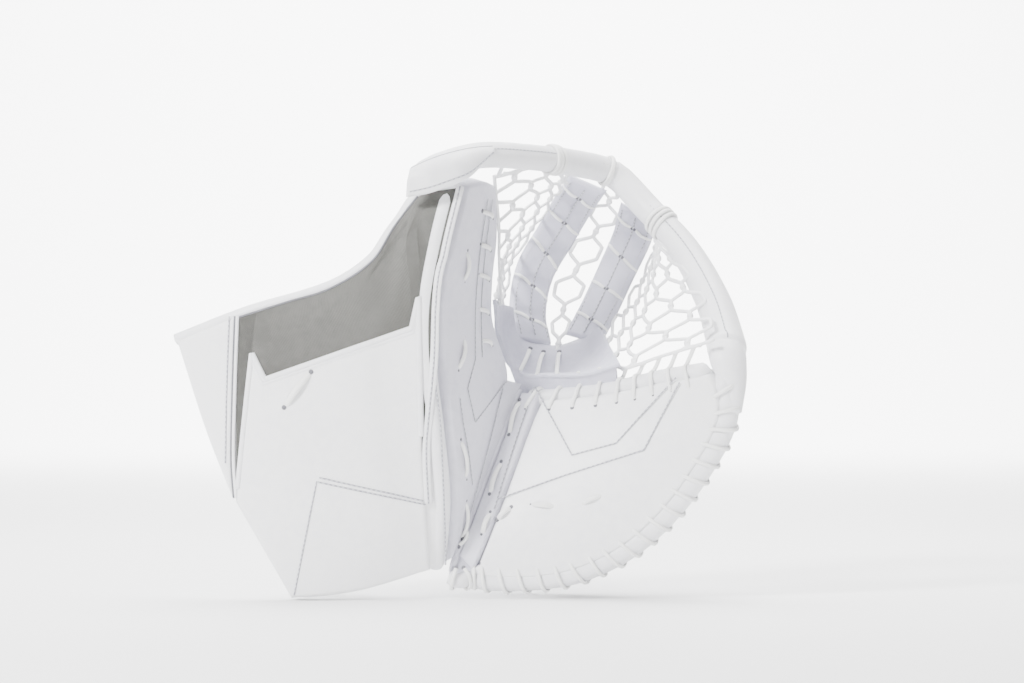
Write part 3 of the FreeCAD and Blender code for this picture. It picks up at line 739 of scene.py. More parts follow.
def places(patch, pairs):
    """Pairs of drawn marks, as pairs of points and normals on a patch."""
    runs = []
    for pair in pairs:
        a, b = find(patch, [spot(*m) for m in pair])
        p, n = patch(a, b), normal(patch, a, b)
        runs.append(((p[0], n[0]), (p[1], n[1])))
    return runs


# %% [markdown]
# ## The cuff board
# The board is one stiff padded shell. On its face lie a wing, a silver panel with long points, and a
# white panel that rises into the silver. Each is drawn flat, as it would be cut, then laid on the curved
# board, and its edge is rolled over by a quarter circle.

# %% The cuff board
BOARD_DEEP = 0.0178
board = inset(BOARD, right=0.0015)
cuff_board = skin("cuff_board", *cushion(board, -BOARD_DEEP, -0.0012, 0.007), 90, 70)
dress(cuff_board, white_leather, THUMB, "cuff_foam", "cuff_plate", fill=0.9)


def cut_sheet(patch):
    """Takes a lining's patch on a 25 by 25 grid and its steps across and up, and keeps nothing."""
    k = np.linspace(0, 1, 25)
    grid = patch(*np.meshgrid(k, k, indexing="ij"))
    du, dv = np.diff(grid, axis=0), np.diff(grid, axis=1)


lining = inset(BOARD, left=0.008, right=0.012, bottom=0.008, top=0.008)
cuff_lining = skin("cuff_lining", offset(lining, -BOARD_DEEP + 0.0002),
                   offset(lining, -BOARD_DEEP - 0.0018), 40, 30)
dress(cuff_lining, lining_cloth, THUMB, "cuff_liner")
cut_sheet(lining)

SEAM = [(-39.3, 22.4), (-39.7, 30), (-39.5, 43.7), (-39.1, 62.0)]
BINDING = [(-6.3, 33), (-5.7, 41.6), (-4.9, 52.7), (-4.6, 64.2), (-4.0, 71.4), (-2.5, 77.7),
           (-0.8, 83.8), (-0.2, 90.2)]
STEPS = [(-38.9, 22.6), (-36, 54.2), (-33.7, 48.5), (-8.1, 59.7), (-6.9, 66.5), (-6.3, 33)]
SHARES = (0, 0.08, 0.14, 0.84, 0.9, 1)
TOP = [(-38.9, 61.6), (-30, 65.1), (-22.5, 68.0), (-15.2, 73.9), (-11.3, 81.5), (-7.2, 88.2),
       (-0.2, 90.2)]


def line(marks, shares=None, smooth=True):
    """A flat curve through drawn marks, smooth or with corners."""
    flat = [spot(*m) for m in marks]
    return through(*flat) if smooth else corners(*flat, shares=shares)


def panel(name, flat, low, high, rim, us, vs):
    """A panel cut to a flat drawing and laid on the board, its edge rolled over within rim."""
    u, v = np.meshgrid(us, vs, indexing="ij")
    drawing = flat(u, v)
    a, b = find(BOARD, drawing.reshape(-1, 2))
    n = normal(BOARD, a, b).reshape(*u.shape, 3)
    base = BOARD(a, b).reshape(*u.shape, 3)
    edge = np.concatenate([drawing[:, 0], drawing[-1], drawing[::-1, -1], drawing[0, ::-1]])
    away = np.sqrt(((drawing[:, :, None] - edge[None, None]) ** 2).sum(axis=-1).min(axis=2))
    rise = low + (high - low) * quarter_round(away, rim)
    return shell(name, base + n * rise[..., None], base + n * (low - 0.0012))


silver = coons(line(STEPS, SHARES, False), line(TOP), line([STEPS[0], TOP[0]]), line(BINDING))
accent = panel("accent_panel", silver, -0.0012, 0.0002, 0.0006, spread(110, SHARES), spread(50))
dress(accent, accent_satin, THUMB, "cuff_accent_panel")

wing = coons(line([(-39.5, 22.0), (-39.3, 22.4)]), line([(-49.6, 56.7), (-39.1, 62.0)]),
             line([(-39.5, 22.0), (-44.3, 37), (-49.6, 56.7)]), line(SEAM))
wing_panel = panel("wing_panel", wing, -0.0012, 0.0016, 0.004, spread(26), spread(60))
dress(wing_panel, white_leather, THUMB, "cuff_wing_panel", fill=0.7)

lower = coons(line([(-29.3, 0.4), (-22.5, 1.0), (-15.5, 2.5), (-5, 6.4)]), line(STEPS, SHARES, False),
              line([(-29.3, 0.4), (-39.0, 21.4), STEPS[0]], (0, 0.93, 1), False),
              line([(-5, 6.4), (-5.8, 21.4), (-6.3, 33)]))
lower_panel = panel("lower_panel", lower, -0.0012, 0.0018, 0.0035, spread(110, SHARES), spread(90))
dress(lower_panel, white_leather, THUMB, "cuff_lower_panel", fill=0.7)

# %% [markdown]
# The white border under the silver is two bevelled ridges, one inside the other. The top edge is rolled
# over a cord, and the binding down the right is a narrow stitched tape.

# %% Borders, pipings and binding
ridges = []
for shift, size in ((-0.35, 0.0021), (-1.35, 0.0014)):
    marks = [(x + 0.25 * (1 if x < -30 else -1) * (shift + 0.35), z + shift) for x, z in STEPS[1:5]]
    path, n = drawn(BOARD, [(-38.5, 24.5)] + marks + [(-6.5, 36)], 0.0012, smooth=False, gap=0.0012)
    ridges.append(sweep(path, size, 10, flat=0.75, up=n))
dress(build("accent_border", ridges), edge_leather, THUMB, slot="white_leather")
top_line, top_n = traced(BOARD, np.linspace(0.0, 0.985, 110), 1.0)
rod("board_top_roll", top_line - top_n * 0.0042, 0.0044, 12, edge_leather, THUMB, up=top_n)
path, n = drawn(BOARD, TOP[:-1], 0.0004, gap=0.002)
rod("board_top_seam", path, 0.0007, 6, seam_shadow, THUMB, flat=0.5, up=n)
path, n = drawn(BOARD, SEAM, 0.0004, gap=0.002)
rod("wing_seam", path, 0.0009, 6, seam_shadow, THUMB, flat=0.6, up=n)
path, n = drawn(BOARD, [(x + 0.45, z) for x, z in SEAM], 0.0006, gap=0.002)
rod("wing_piping", path, 0.0013, 8, edge_leather, THUMB, slot="white_leather", up=n)
TAPE_LINE = [(-5.3, 21.3), (-5.6, 33), (-5.0, 41.6), (-4.2, 52.7), (-3.9, 64.2), (-3.3, 71.4), (-1.8, 77.7),
             (0.1, 84.5), (0.3, 90.2)]
path, n = drawn(BOARD, TAPE_LINE, 0.0008, gap=0.0025)
rod("binding_tape", path, 0.0029, 12, edge_leather, THUMB, flat=0.3, up=n)
sew("board_stitches", THUMB, [
    drawn(BOARD, [(x - 0.9, z) for x, z in SEAM[1:]], 0.0019),
    drawn(BOARD, TAPE_LINE, 0.0018),
    drawn(BOARD, [(-2.3, 7.5), (-2.6, 22.1), (-3.2, 39.5), (-4.0, 47)], 0.0001),
    drawn(BOARD, [(-5.9, 21.1), (-24.6, 26.1), (-28.7, 1.2)], 0.0021, smooth=False, gap=0.0012),
    drawn(BOARD, [(-6.2, 21.9), (-24.1, 27.0)], 0.0021, smooth=False)])
lace_up("tie_lace", THUMB, [((p + n * 0.0018, n), (q + m * 0.0018, m)) for (p, n), (q, m) in
        places(BOARD, [((-25.7, 49.6), (-30.1, 42.4))])], "cuff_tie_lace", radius=0.0023)
t = np.linspace(0.01, 0.97, 90)
rod("cuff_corner_roll", CORNER_LINE(t) + np.array([-0.0075, 0.0075, 0]),
    0.0075 * drawn_in(t, 0.03, 0.05, 0.4), 18, edge_leather, THUMB, "cuff_edge_roll", fill=0.8,
    up=(0, -1, 0))


# %% [markdown]
# ## The two palms
# Each palm is leather crowned over felt and a stiff plate. The thumb side is narrow, and its leather is a
# lilac grey of painted shade. The finger side is a broad fan, with a strip along the fold and a laced roll
# round its outer edge.

# %% The two palms
def palm_pad(name, patch, material, body, nodes, lining_node):
    """A palm: a cushion of leather over felt, and a thin lining behind it over the plate."""
    pad = skin(name, *cushion(patch, -0.0118, 0.0, 0.004, 0.001), 60, 70)
    dress(pad, material, body, *nodes, fill=0.9)
    rear = inset(patch, 0.004, 0.004, 0.004, 0.004)
    cloth = skin(name + "_lining", offset(rear, -0.0116), offset(rear, -0.0134), 30, 34)
    dress(cloth, lining_cloth, body, lining_node)
    cut_sheet(rear)


THUMB_PAD = inset(window(THUMB_PALM, 0, 1, 0.02, 0.99), left=0.009, right=0.001)
palm_pad("thumb_palm", THUMB_PAD, palm_leather, THUMB, ["thumb_palm_leather", "thumb_palm_felt"],
         "thumb_palm_plate")
WHOLE = window(FINGER_PALM, 0, 1, 0.02, 1)
FINGER_PAD = inset(WHOLE, left=0.0176, right=0.0105, top=0.0095)
palm_pad("finger_palm", FINGER_PAD, white_leather, FINGERS,
         ["finger_palm_leather", "finger_palm_felt"], "finger_palm_plate")
STRIP = inset(WHOLE, left=0.0012, top=0.006)


def fold_strip_patch(u, v):
    """The strip along the fold: from the palm's edge, 16.5 mm towards the fingers."""
    start = STRIP(np.zeros(np.shape(v)), v)
    way = unit(STRIP(np.full(np.shape(v), 0.05), v) - start)
    return start + way * (0.0165 * np.asarray(u)[..., None])


strip = skin("fold_strip_leather", *cushion(fold_strip_patch, -0.0085, 0.0004, 0.002), 16, 70)
dress(strip, palm_leather, FINGERS, "fold_strip", fill=0.8)
WELT_SUNK = np.array([0.0, 0.0024, 0.0])
rod("fold_welt_cord", FOLD_EDGE(np.linspace(0.03, 0.97, 60)) + WELT_SUNK, 0.0025, 12, palm_leather,
    POCKET, "fold_welt", up=(0, -1, 0))


def fold_gusset(u, v):
    """Thin leather ruled from inside the thumb palm's edge to the fold line. Its far edge lies on the
    fold's axis, where nothing moves, so it needs no blending."""
    u, v = grids(u, v)
    palm_side, fold_side = THUMB_PALM(np.full(v.shape, 0.88), 0.503 * v), FOLD_EDGE(v)
    return palm_side * (1 - u[..., None]) + fold_side * u[..., None]


gusset = skin("fold_gusset", offset(fold_gusset, -0.0006), offset(fold_gusset, -0.0024), 14, 60)
dress(gusset, palm_leather, THUMB)

sew("thumb_palm_stitches", THUMB, [
    drawn(THUMB_PALM, [(2.6, 52.4), (1.3, 46.2), (2.6, 38.7), (8.0, 47.5)], 0.0012, smooth=False,
          gap=0.0012),
    drawn(THUMB_PALM, [(0.0, 44), (0.6, 38.2), (1.4, 32.5), (2.1, 25)], 0.0012),
    drawn(THUMB_PALM, [(4.8, 88), (3.4, 76), (2.6, 64), (2.6, 52.4)], 0.0012),
    drawn(THUMB_PALM, [(5.6, 88), (4.3, 76), (3.6, 64), (3.8, 53)], 0.0012),
    drawn(THUMB_PALM, [(7.4, 46), (4.2, 30), (0.6, 14)], 0.0012)])
sew("finger_palm_stitches", FINGERS, [
    drawn(FINGER_PALM, [(13.5, 46.2), (19.9, 31.4), (27.6, 34.1), (38.0, 48.6)], 0.0014, smooth=False,
          gap=0.0012),
    drawn(FINGER_PALM, [(38.6, 47.6), (32.4, 32.7), (18.7, 27), (6.9, 21.6)], 0.0014, smooth=False,
          gap=0.0012),
    drawn(FINGER_PALM, [(13.3, 46.2), (10.2, 35), (6.2, 19.5)], 0.0012)])
lace_up("thumb_laces", THUMB, places(THUMB_PALM, [
    ((0.9, 57.2), (-0.1, 50.4)), ((0.3, 34.8), (1.2, 26.5)), ((1.2, 21.2), (1.2, 13.2)),
    ((1.4, 76.2), (0.9, 69.8)), ((3.4, 11.5), (4.0, 15.4))]), "thumb_palm_laces")
lace_up("thumb_rim_laces", THUMB, places(THUMB_PALM, [
    ((x - 1.5, z + 0.6), (x + 0.2, z - 0.6)) for x, z in
    ((5.6, 84.6), (5.2, 77.4), (4.9, 70.8), (4.8, 63.2), (5.4, 56.2))]), "thumb_edge_lace", radius=0.0017)
lace_up("palm_laces", FINGERS, places(FINGER_PALM, [
    ((12.8, 20.6), (16.8, 20.2)), ((21.4, 20.8), (25.0, 22.8)), ((9.0, 19.8), (6.8, 17.4))]),
    "finger_palm_laces")
lace_up("fold_strip_laces", FINGERS, places(FINGER_PALM, [
    ((10.6, 43.2), (8.8, 36.0)), ((7.3, 29.6), (5.4, 23.0)), ((5.4, 18.6), (4.0, 14.2))]), "fold_laces")

# %% [markdown]
# The outer edge of the palm is a leather roll. A lace is whipped over it: out of a hole in the palm,
# round the roll, and back in behind. Each turn leans a little along the edge.

# %% Rolled edges and whipped laces
INNER = inset(offset(FINGER_PALM, -0.0075), right=0.0075, top=0.0075)


def whip(centre, way, out, radius, lean, lift, hole):
    """One turn of lace, and the hole that it starts from: an arc about the roll, from the palm's face
    over the outer edge to the back. It opens out over its first part, where it leaves the hole."""
    out = unit(out - way * (out @ way))
    face = np.cross(way, out)
    face = face if face[1] < 0 else -face
    first, opens, last, steps = 158, 95, -78, 18
    a = np.radians(np.linspace(first, last, steps))[:, None]
    wider = 1 + 0.30 * np.clip((a - np.radians(opens)) / np.radians(first - opens), 0, 1)
    path = centre + radius * wider * (np.cos(a) * out + np.sin(a) * face)
    path = path + way * lean * np.linspace(-1, 1, steps)[:, None]
    return (sweep(path, 0.0015, 8, flat=0.7, up=unit(path - centre)),
            [eyelet_part(path[0] + face * lift, unit(face), hole)])


def edge_roll(name, path, radius, *nodes):
    """A stuffed roll of leather along a path, drawn in at its two ends."""
    size = radius * drawn_in(np.linspace(0, 1, len(path)), 0.02, 0.03, 0.5)
    rod(name, path, size, 20, edge_leather, FINGERS, *nodes, fill=0.8, up=(0.2, -1, 0.1))


t = np.linspace(0.0, 0.985, 120)
edge_roll("palm_rim_roll", INNER(np.ones_like(t), t), 0.0076, "perimeter_roll")
t = np.linspace(0.03, 0.985, 60)
edge_roll("palm_brim_roll", INNER(t, np.ones_like(t)), 0.0062, "pocket_edge_roll")
turns = []
for t in 0.04 + 0.9 * np.arange(19) / 18:
    centre, way = INNER(1.0, t), unit(INNER(1.0, t + 0.01) - INNER(1.0, t - 0.01))
    lean = 0.0042 + 0.0012 * chance.uniform(-1, 1)
    turns.append(whip(centre, way, unit(centre - INNER(0.97, t)), 0.0090, lean, 0.0012, 0.0017))
tie("rim_laces", FINGERS, turns, "perimeter_lace")

HEEL = through(at(-1.9, -30.5, 4.8), at(-0.2, -30.8, 3.9), INNER(1, 0), INNER(1, 0.04))
t = np.linspace(0, 1, 40)
edge_roll("heel_roll", HEEL(t), 0.0050 + 0.0022 * t)
LEFT_LOW, RIGHT_LOW = at(-1.9, -30.4, 4.8), at(3.2, -30.4, 4.2)
LEFT_HIGH, RIGHT_HIGH = at(-1.0, -28.4, 10.6), at(2.6, -28.0, 10.6)
HEEL_PATCH = coons(corners(LEFT_LOW, RIGHT_LOW), corners(LEFT_HIGH, RIGHT_HIGH),
                   corners(LEFT_LOW, LEFT_HIGH), corners(RIGHT_LOW, RIGHT_HIGH))
dress(skin("heel_patch", HEEL_PATCH, offset(HEEL_PATCH, -0.0016), 10, 10), palm_leather, FINGERS)
DOWN = np.array([0.0, 0.0, -1.0])
tie("heel_laces", FINGERS, [
    whip(HEEL(t), unit(HEEL(t + 0.05) - HEEL(t - 0.05)), DOWN, 0.0068 + 0.002 * t, 0.002, 0.0008, 0.0016)
    for t in (0.16, 0.44, 0.72)])


# %% [markdown]
# ## The web
# Two leather bands run from the bottom of the pocket, round its back, to the top. Laces cross each band
# through pairs of holes. Between the bands, and from each band to the rim, hangs a net of skate lace.
# A net is strands that zigzag in turn towards one neighbour and the other, bound where they meet.

# %% The web
WEB_THUMB = through(at(13.2, 32, 57.5), at(12.3, 38, 64), at(13.7, 45.7, 73), at(17.5, 46.2, 81.3),
                    at(20.6, 38, 88), at(22.8, 27, 92))
WEB_FINGER = through(at(22.6, 31, 58), at(25.4, 36.5, 64.5), at(28.6, 41, 73), at(31.3, 38, 80.5),
                     at(32.3, 29, 85.5))
CUP = coons(through(at(6.6, -7, 65), at(7.6, -5, 56), at(10.8, -5, 50), at(16, -12, 49.6), at(22.5, -20, 50),
                    at(27.5, -26, 52)),
            through(at(9.2, 23, 64), at(9.8, 27, 60), at(12.2, 29, 56.2), at(17, 29, 55), at(21.6, 29, 56.4),
                    at(25.2, 26, 59)),
            through(at(6.6, -7, 65), at(7.2, 8, 64.6), at(9.2, 23, 64)),
            through(at(27.5, -26, 52), at(27, 0, 54), at(25.2, 26, 59)))
NET_THUMB = coons(through(at(7.2, -6, 66.5), at(6.4, 12, 67), at(8.2, 32, 67)),
                  through(at(7.6, -17, 92), at(13, -11, 94), at(17, 5, 93.5), at(18.5, 20, 92)),
                  through(at(7.2, -6, 66.5), at(7.2, -8, 74), at(7.8, -12, 83), at(7.6, -17, 92)),
                  through(at(8.2, 32, 67), at(9.4, 41.5, 75), at(13.6, 42.5, 83), at(17, 33, 89.5),
                          at(18.5, 20, 92)))
NET_MIDDLE = coons(through(at(17.2, 30.5, 56), at(18.5, 30.5, 56.2)),
                   through(at(26.2, 26, 92), at(28.4, 24, 90)),
                   through(at(17.2, 30.5, 56), at(16.9, 40.5, 62.5), at(18.2, 47.2, 71.5), at(21.6, 47.2, 80),
                           at(24.6, 39, 87), at(26.2, 26, 92)),
                   through(at(18.5, 30.5, 56.2), at(20.7, 39.5, 64), at(23.8, 45.2, 73), at(26.9, 42, 81),
                           at(28.9, 32, 87), at(28.4, 24, 90)))
NET_FINGER = coons(through(at(26.6, 23, 58), at(27.4, 0, 54), at(29.5, -25, 51.5), at(35.5, -34.5, 54),
                           at(40.6, -41, 56)),
                   through(at(35.6, 22, 85), at(35.2, 14, 83.5), at(34.6, 7, 81.5)),
                   through(at(26.6, 23, 58), at(29.6, 30.5, 64), at(33.4, 35, 72), at(35.8, 31, 79.5),
                           at(35.6, 22, 85)),
                   through(at(40.6, -41, 56), at(41.2, -24, 64), at(38.2, -6.5, 74), at(34.6, 7, 81.5)))


def band_patch(path, side):
    """A band 31 mm wide along a path: across is side, made square to the path."""
    side = np.asarray(side, float)

    def patch(u, v):
        way = unit(path(np.minimum(v + 0.01, 1)) - path(np.maximum(v - 0.01, 0)))
        across = unit(side - way * (way @ side)[..., None])
        return path(v) + across * ((np.asarray(u) - 0.5) * 0.031)[..., None]
    return patch


def web_strap(name, path, side, node_name, laced):
    """A web band: a soft cushion of leather with a seam down its middle and laces across it."""
    patch = window(band_patch(path, side), 0, 1, -0.03, 1.03)
    band = skin(name, *cushion(patch, -0.0016, 0.0018, 0.003, 0.0012), 22, 90)
    dress(band, pocket_leather, POCKET, node_name, fill=0.6)
    v = np.linspace(0.03, 0.97, 110)
    sew(name + "_seam", POCKET, [traced(patch, 0.5, v, 0.0031), traced(patch, 0.12, v, 0.0021),
                                 traced(patch, 0.88, v, 0.0021)])
    laces = []
    for t in laced:
        for a, b, slant in ((0.47, 0.02, 0.035), (0.54, 0.98, -0.04)):
            (p, n), (q, m) = traced(patch, a, t, 0.0028), traced(patch, b, t + slant, 0.0012)
            cord, up = arch(p, q, n, m, 0.0012)
            laces.append((sweep(cord, 0.0014, 8, flat=0.75, up=up), [eyelet_part(p, n, 0.0013)]))
    tie(name, POCKET, laces, ending="_laces")


def strand(patch, u, v, radius=0.00155):
    """One cord of a net, through shares of its patch."""
    path, n = traced(patch, u, v)
    return sweep(path, radius, 7, flat=0.7, up=n)


def knot_part(patch, u, v):
    """A wrap where two cords meet: a short thick rod along them, drawn in at its ends."""
    centre = patch(u, v)
    way = unit(patch(u, v + 0.02) - centre)
    t = np.linspace(-1, 1, 7)
    path = centre + way * (t * 0.0027)[:, None]
    size = 0.0026 * np.sqrt(np.clip(1.06 - t**2, 0.1, 1))
    return sweep(path, size, 8, flat=0.85, up=normal(patch, u, v))


def zigzag_net(patch, columns, cells, jitter=0.05):
    """Strand i stands at (i + 1/2) / columns and swings by half a column, opposite to its neighbour,
    held flat for a while at each end of the swing. Knots bind neighbours where they touch."""
    parts = []
    v = np.linspace(0, 1, cells * 14 + 1)
    for i in range(columns):
        swing = np.clip(1.7 * np.sin(2 * np.pi * (cells / 2) * v + np.pi * i), -1, 1)
        stray = chance.uniform(-1, 1, cells + 1)
        loose = jitter / columns * np.interp(v, np.linspace(0, 1, cells + 1), stray)
        u = (i + 0.5 + 0.46 * swing) / columns + loose
        parts.append(strand(patch, u, v))
    for i in range(columns - 1):
        parts += [knot_part(patch, (i + 1) / columns, (k + 0.5) / cells) for k in range(i % 2, cells, 2)]
    return parts


def net_edges(patch, sides):
    """Cords along chosen edges of a net."""
    t = np.linspace(0, 1, 60)
    lines = {"left": (0.01, t), "low": (t, 0.01), "high": (t, 0.99)}
    return [strand(patch, *lines[side], 0.0016) for side in sides]


def reaching(patch):
    """A net's patch carried a little past its edges, to the leather that it is laced to."""
    return window(patch, -0.09, 1.06, -0.06, 1.07)


web_strap("thumb_web_band", WEB_THUMB, (0.85, 0.27, -0.45), "web_band_thumb_side",
          np.linspace(0.12, 0.88, 5))
web_strap("finger_web_band", WEB_FINGER, (0.88, -0.43, -0.22), "web_band_finger_side",
          np.linspace(0.14, 0.86, 4))
THUMB_MESH = reaching(NET_THUMB)
bead_line = BEAD_THUMB(np.linspace(0, 1, 200))
hangers = []
for t in np.linspace(0.04, 0.9, 6):
    end = THUMB_MESH(t, 0.99)
    root = bead_line[np.abs(bead_line[:, 0] - end[0] - 0.004).argmin()]
    middle = (end + root) / 2 + np.array([0.001, 0.0, -0.001])
    hangers.append(sweep(through(end, middle, root)(np.linspace(0, 1, 9)), 0.0015, 7))
thumb_cords = zigzag_net(THUMB_MESH, 6, 9) + net_edges(THUMB_MESH, ["left", "high"]) + hangers
dress(build("thumb_net_cords", thumb_cords), net_cord,
      (THUMB, POCKET, at(7.3, -4, 76), at(11.5, 36, 78)), "thumb_net")
middle_cords = zigzag_net(reaching(NET_MIDDLE), 2, 10, 0.03)
dress(build("middle_net_cords", middle_cords), net_cord, POCKET, "middle_net")
FINGER_MESH = window(NET_FINGER, -0.04, 1.12, -0.04, 1.05)
finger_cords = zigzag_net(FINGER_MESH, 8, 9) + net_edges(FINGER_MESH, ["low"])
dress(build("finger_net_cords", finger_cords), net_cord,
      (POCKET, FINGERS, at(32, 28, 68), at(39.5, -16, 66)), "finger_net")

# %% [markdown]
# The bottom of the pocket is a leather cup, made as two skins that meet along its middle, one on each
# side of the fold.

# %% The pocket cup
cup = window(domed(CUP, -0.008), -0.02, 1.02, -0.10, 1.10)
THUMB_SIDE_BEND = (THUMB, POCKET, at(7, 0, 60), at(15, 4, 52))
FINGER_SIDE_BEND = (POCKET, FINGERS, at(17, 4, 52), at(27, -6, 53))
for half, (u0, u1), bend in (("thumb", (0.0, 0.502), THUMB_SIDE_BEND),
                             ("finger", (0.498, 1.0), FINGER_SIDE_BEND)):
    part = window(cup, u0, u1, 0, 1)
    piece = skin("pocket_cup_" + half, offset(part, 0.0), offset(part, -0.0024), 44, 40)
    dress(piece, pocket_leather, bend, "pocket_cup")

# %% [markdown]
# Between the cup's lip and the palm's brim a flap closes the pocket. It runs from the lip to a line
# behind the brim roll. The brim is laced: each lace comes out of a hole in the palm, over the roll, and
# up to the cup's lip or to the end of a net cord.

# %% The brim flap and its laces
LIP_START, BRIM_SHARE = 0.16, 0.5
CUP_SPAN, CUP_REACH = 1.04, 0.02
BRIM_BACK = np.array([0.0, 0.0045, -0.002])
# How far each point of a brim lace stands down the palm, out of its face and along the brim.
BRIM_TURN = np.array([[0.0125, 0.0052, -0.0030], [0.0105, 0.0082, -0.0026], [0.0030, 0.0084, 0.0],
                      [-0.0048, 0.0058, 0.0020], [-0.0074, 0.0, 0.0034]])


def lip(t):
    """The cup's lower lip, from above the fold to the fingers."""
    return cup((LIP_START + (1 - LIP_START) * t + CUP_REACH) / CUP_SPAN, 0.02 * np.ones_like(t))


def brim_flap(u, v):
    """Ruled from the lip, on v = 0, to the line behind the brim roll, on v = 1."""
    u, v = grids(u, v)
    low = INNER(BRIM_SHARE * u, np.ones_like(u)) + BRIM_BACK
    return lip(u) * (1 - v[..., None]) + low * v[..., None]


flap = skin("brim_flap", offset(brim_flap, 0.0006), offset(brim_flap, -0.0018), 40, 10)
dress(flap, pocket_leather, FINGER_SIDE_BEND)


def brim_lace(share, top):
    """One lace over the brim roll: its points stand round the roll, then rise to the place it ties."""
    centre = INNER(share, 1)
    down = unit(INNER(share, 0.95) - centre)
    way = unit(INNER(share + 0.02, 1) - INNER(share - 0.02, 1))
    face = np.cross(way, down)
    face = face * -np.sign(face[1])
    points = centre + BRIM_TURN @ np.stack([down, face, way])
    path = through(*points, top)(np.linspace(0, 1, 26))
    hole = points[1] - face * 0.0006 + down * 0.0016
    return sweep(path, 0.00165, 8, flat=0.72, up=face), [eyelet_part(hole, face, 0.0016)]


fine = np.linspace(0, 1, 200)
low_cord = FINGER_MESH(fine, np.full(200, 0.01))
ties = [(BRIM_SHARE * t, lip(0.3 + 0.7 * t) + np.array([0, 0.001, 0.001])) for t in (0.16, 0.38, 0.6, 0.82)]
for share in (0.51, 0.60, 0.69, 0.78, 0.87):
    above = INNER(share, 1)[0] + 0.004
    ties.append((share, low_cord[np.abs(low_cord[60:, 0] - above).argmin() + 60]))
tie("brim_laces", FINGERS, [brim_lace(share, top) for share, top in ties], "pocket_edge_lace")

# %% [markdown]
# Three laces come down from the web into the cup and hold its lip.

# %% Cup laces
(low, low_n), (high, high_n) = [traced(cup, (0.40, 0.50, 0.62), k, 0.0004) for k in (0.16, 0.86)]
lace_up("cup_laces", POCKET, [((low[k], low_n[k]), (high[k], high_n[k])) for k in range(3)], radius=0.0016)

# %% [markdown]
# ## The rim
# The rim of the web is a padded bead in three lengths: thumb, top and fingers. It is drawn in where the
# lengths meet, and lace is wrapped over each meeting. A leather cap covers its root at the thumb.

# %% The rim
BEAD_RADIUS, BEAD_SIDES, BEAD_UP = 0.0094, 24, (0.1, -1, 0.2)


def bead(name, path, radius, body, node_name):
    """A stuffed bead, with a seam along the side away from the net."""
    size = radius * drawn_in(np.linspace(0, 1, len(path)), 0.05, 0.05, 0.35, 0.1)
    rod(name, path, size, BEAD_SIDES, edge_leather, body, node_name, fill=0.85, up=BEAD_UP)
    way = unit(np.gradient(path, axis=0))
    face = unit(np.cross(way, np.cross((0.0, -1.0, 0.35), way)))
    inner = slice(3, -3)
    sew(name + "_seam", body, [((path + face * size[:, None] * 0.99)[inner], face[inner])])


t = np.linspace(0, 1, 90)
bead("thumb_bead_roll", BEAD_THUMB(t), BEAD_RADIUS, THUMB, "thumb_bead")
bead("top_bead_roll", BEAD_TOP(t[::2]), BEAD_RADIUS, POCKET, "pocket_top_roll")
bead("finger_bead_roll", BEAD_FINGER(t), BEAD_RADIUS + 0.0052 * t, FINGERS, "finger_bead")


def wraps(name, path, where, radius, body, turns=3):
    """Turns of lace side by side round a bead: a ring carried along its middle line."""
    parts = []
    for k in range(turns):
        share = where + 0.022 * (k - (turns - 1) / 2)
        centre = path(share)
        way = unit(path(min(share + 0.02, 1)) - path(max(share - 0.02, 0)))
        side = unit(np.cross((0.0, 1.0, 0.0), way))
        up = np.cross(way, side)
        a = np.linspace(0, 2 * np.pi, 28, endpoint=False)[:, None]
        ring = centre + radius * (np.cos(a) * side + np.sin(a) * up) + way * 0.0012 * np.sin(a + k)
        parts.append(sweep(ring, 0.0017, 8, flat=0.7, up=unit(ring - centre), closed=True))
    dress(build(name, parts), lace_cord, body)


wraps("thumb_bead_wraps", BEAD_THUMB, 0.87, 0.0104, THUMB)
wraps("top_bead_wraps", BEAD_TOP, 0.48, 0.0108, POCKET, 2)
wraps("finger_bead_wraps", BEAD_FINGER, 0.14, 0.0112, FINGERS)


def bead_sleeve(name, points, bodies, radius):
    """The bead's leather carried over the gap between two lengths."""
    path = through(*points)(np.linspace(0, 1, 28))
    rod(name, path, radius, BEAD_SIDES, edge_leather, (*bodies, path[2], path[-3]), fill=0.8, up=BEAD_UP)


bead_sleeve("bead_sleeve_thumb", [BEAD_THUMB(0.90), BEAD_THUMB(0.97), BEAD_TOP(0.05), BEAD_TOP(0.35)],
            (THUMB, POCKET), 0.0099)
bead_sleeve("bead_sleeve_finger", [BEAD_TOP(0.6), BEAD_TOP(0.95), BEAD_FINGER(0.03), BEAD_FINGER(0.10)],
            (POCKET, FINGERS), 0.0101)
t = np.linspace(0, 1, 40)
tail = through(BEAD_FINGER(0.9), at(46.9, -40, 53.3), at(47.7, -43.5, 48), at(47.9, -45.5, 41))(t)
rod("bead_tail", tail, np.interp(t, [0, 0.35, 1], [0.0142, 0.0132, 0.0055]), BEAD_SIDES, edge_leather,
    FINGERS, fill=0.8, flat=0.8, up=BEAD_UP)

CAP_LOW = through(at(-8.5, -40, 87.5), at(-4, -42, 88.5), at(2, -40.5, 91.2), at(7.5, -28, 93.5))
CAP_FRONT = unit(np.array([-0.35, -0.9, 0.25])) * 0.0114
CAP_HIGH = through(*[BEAD_THUMB(0.02 + 0.125 * k) + CAP_FRONT + np.array([0, 0, 0.003]) for k in range(5)])


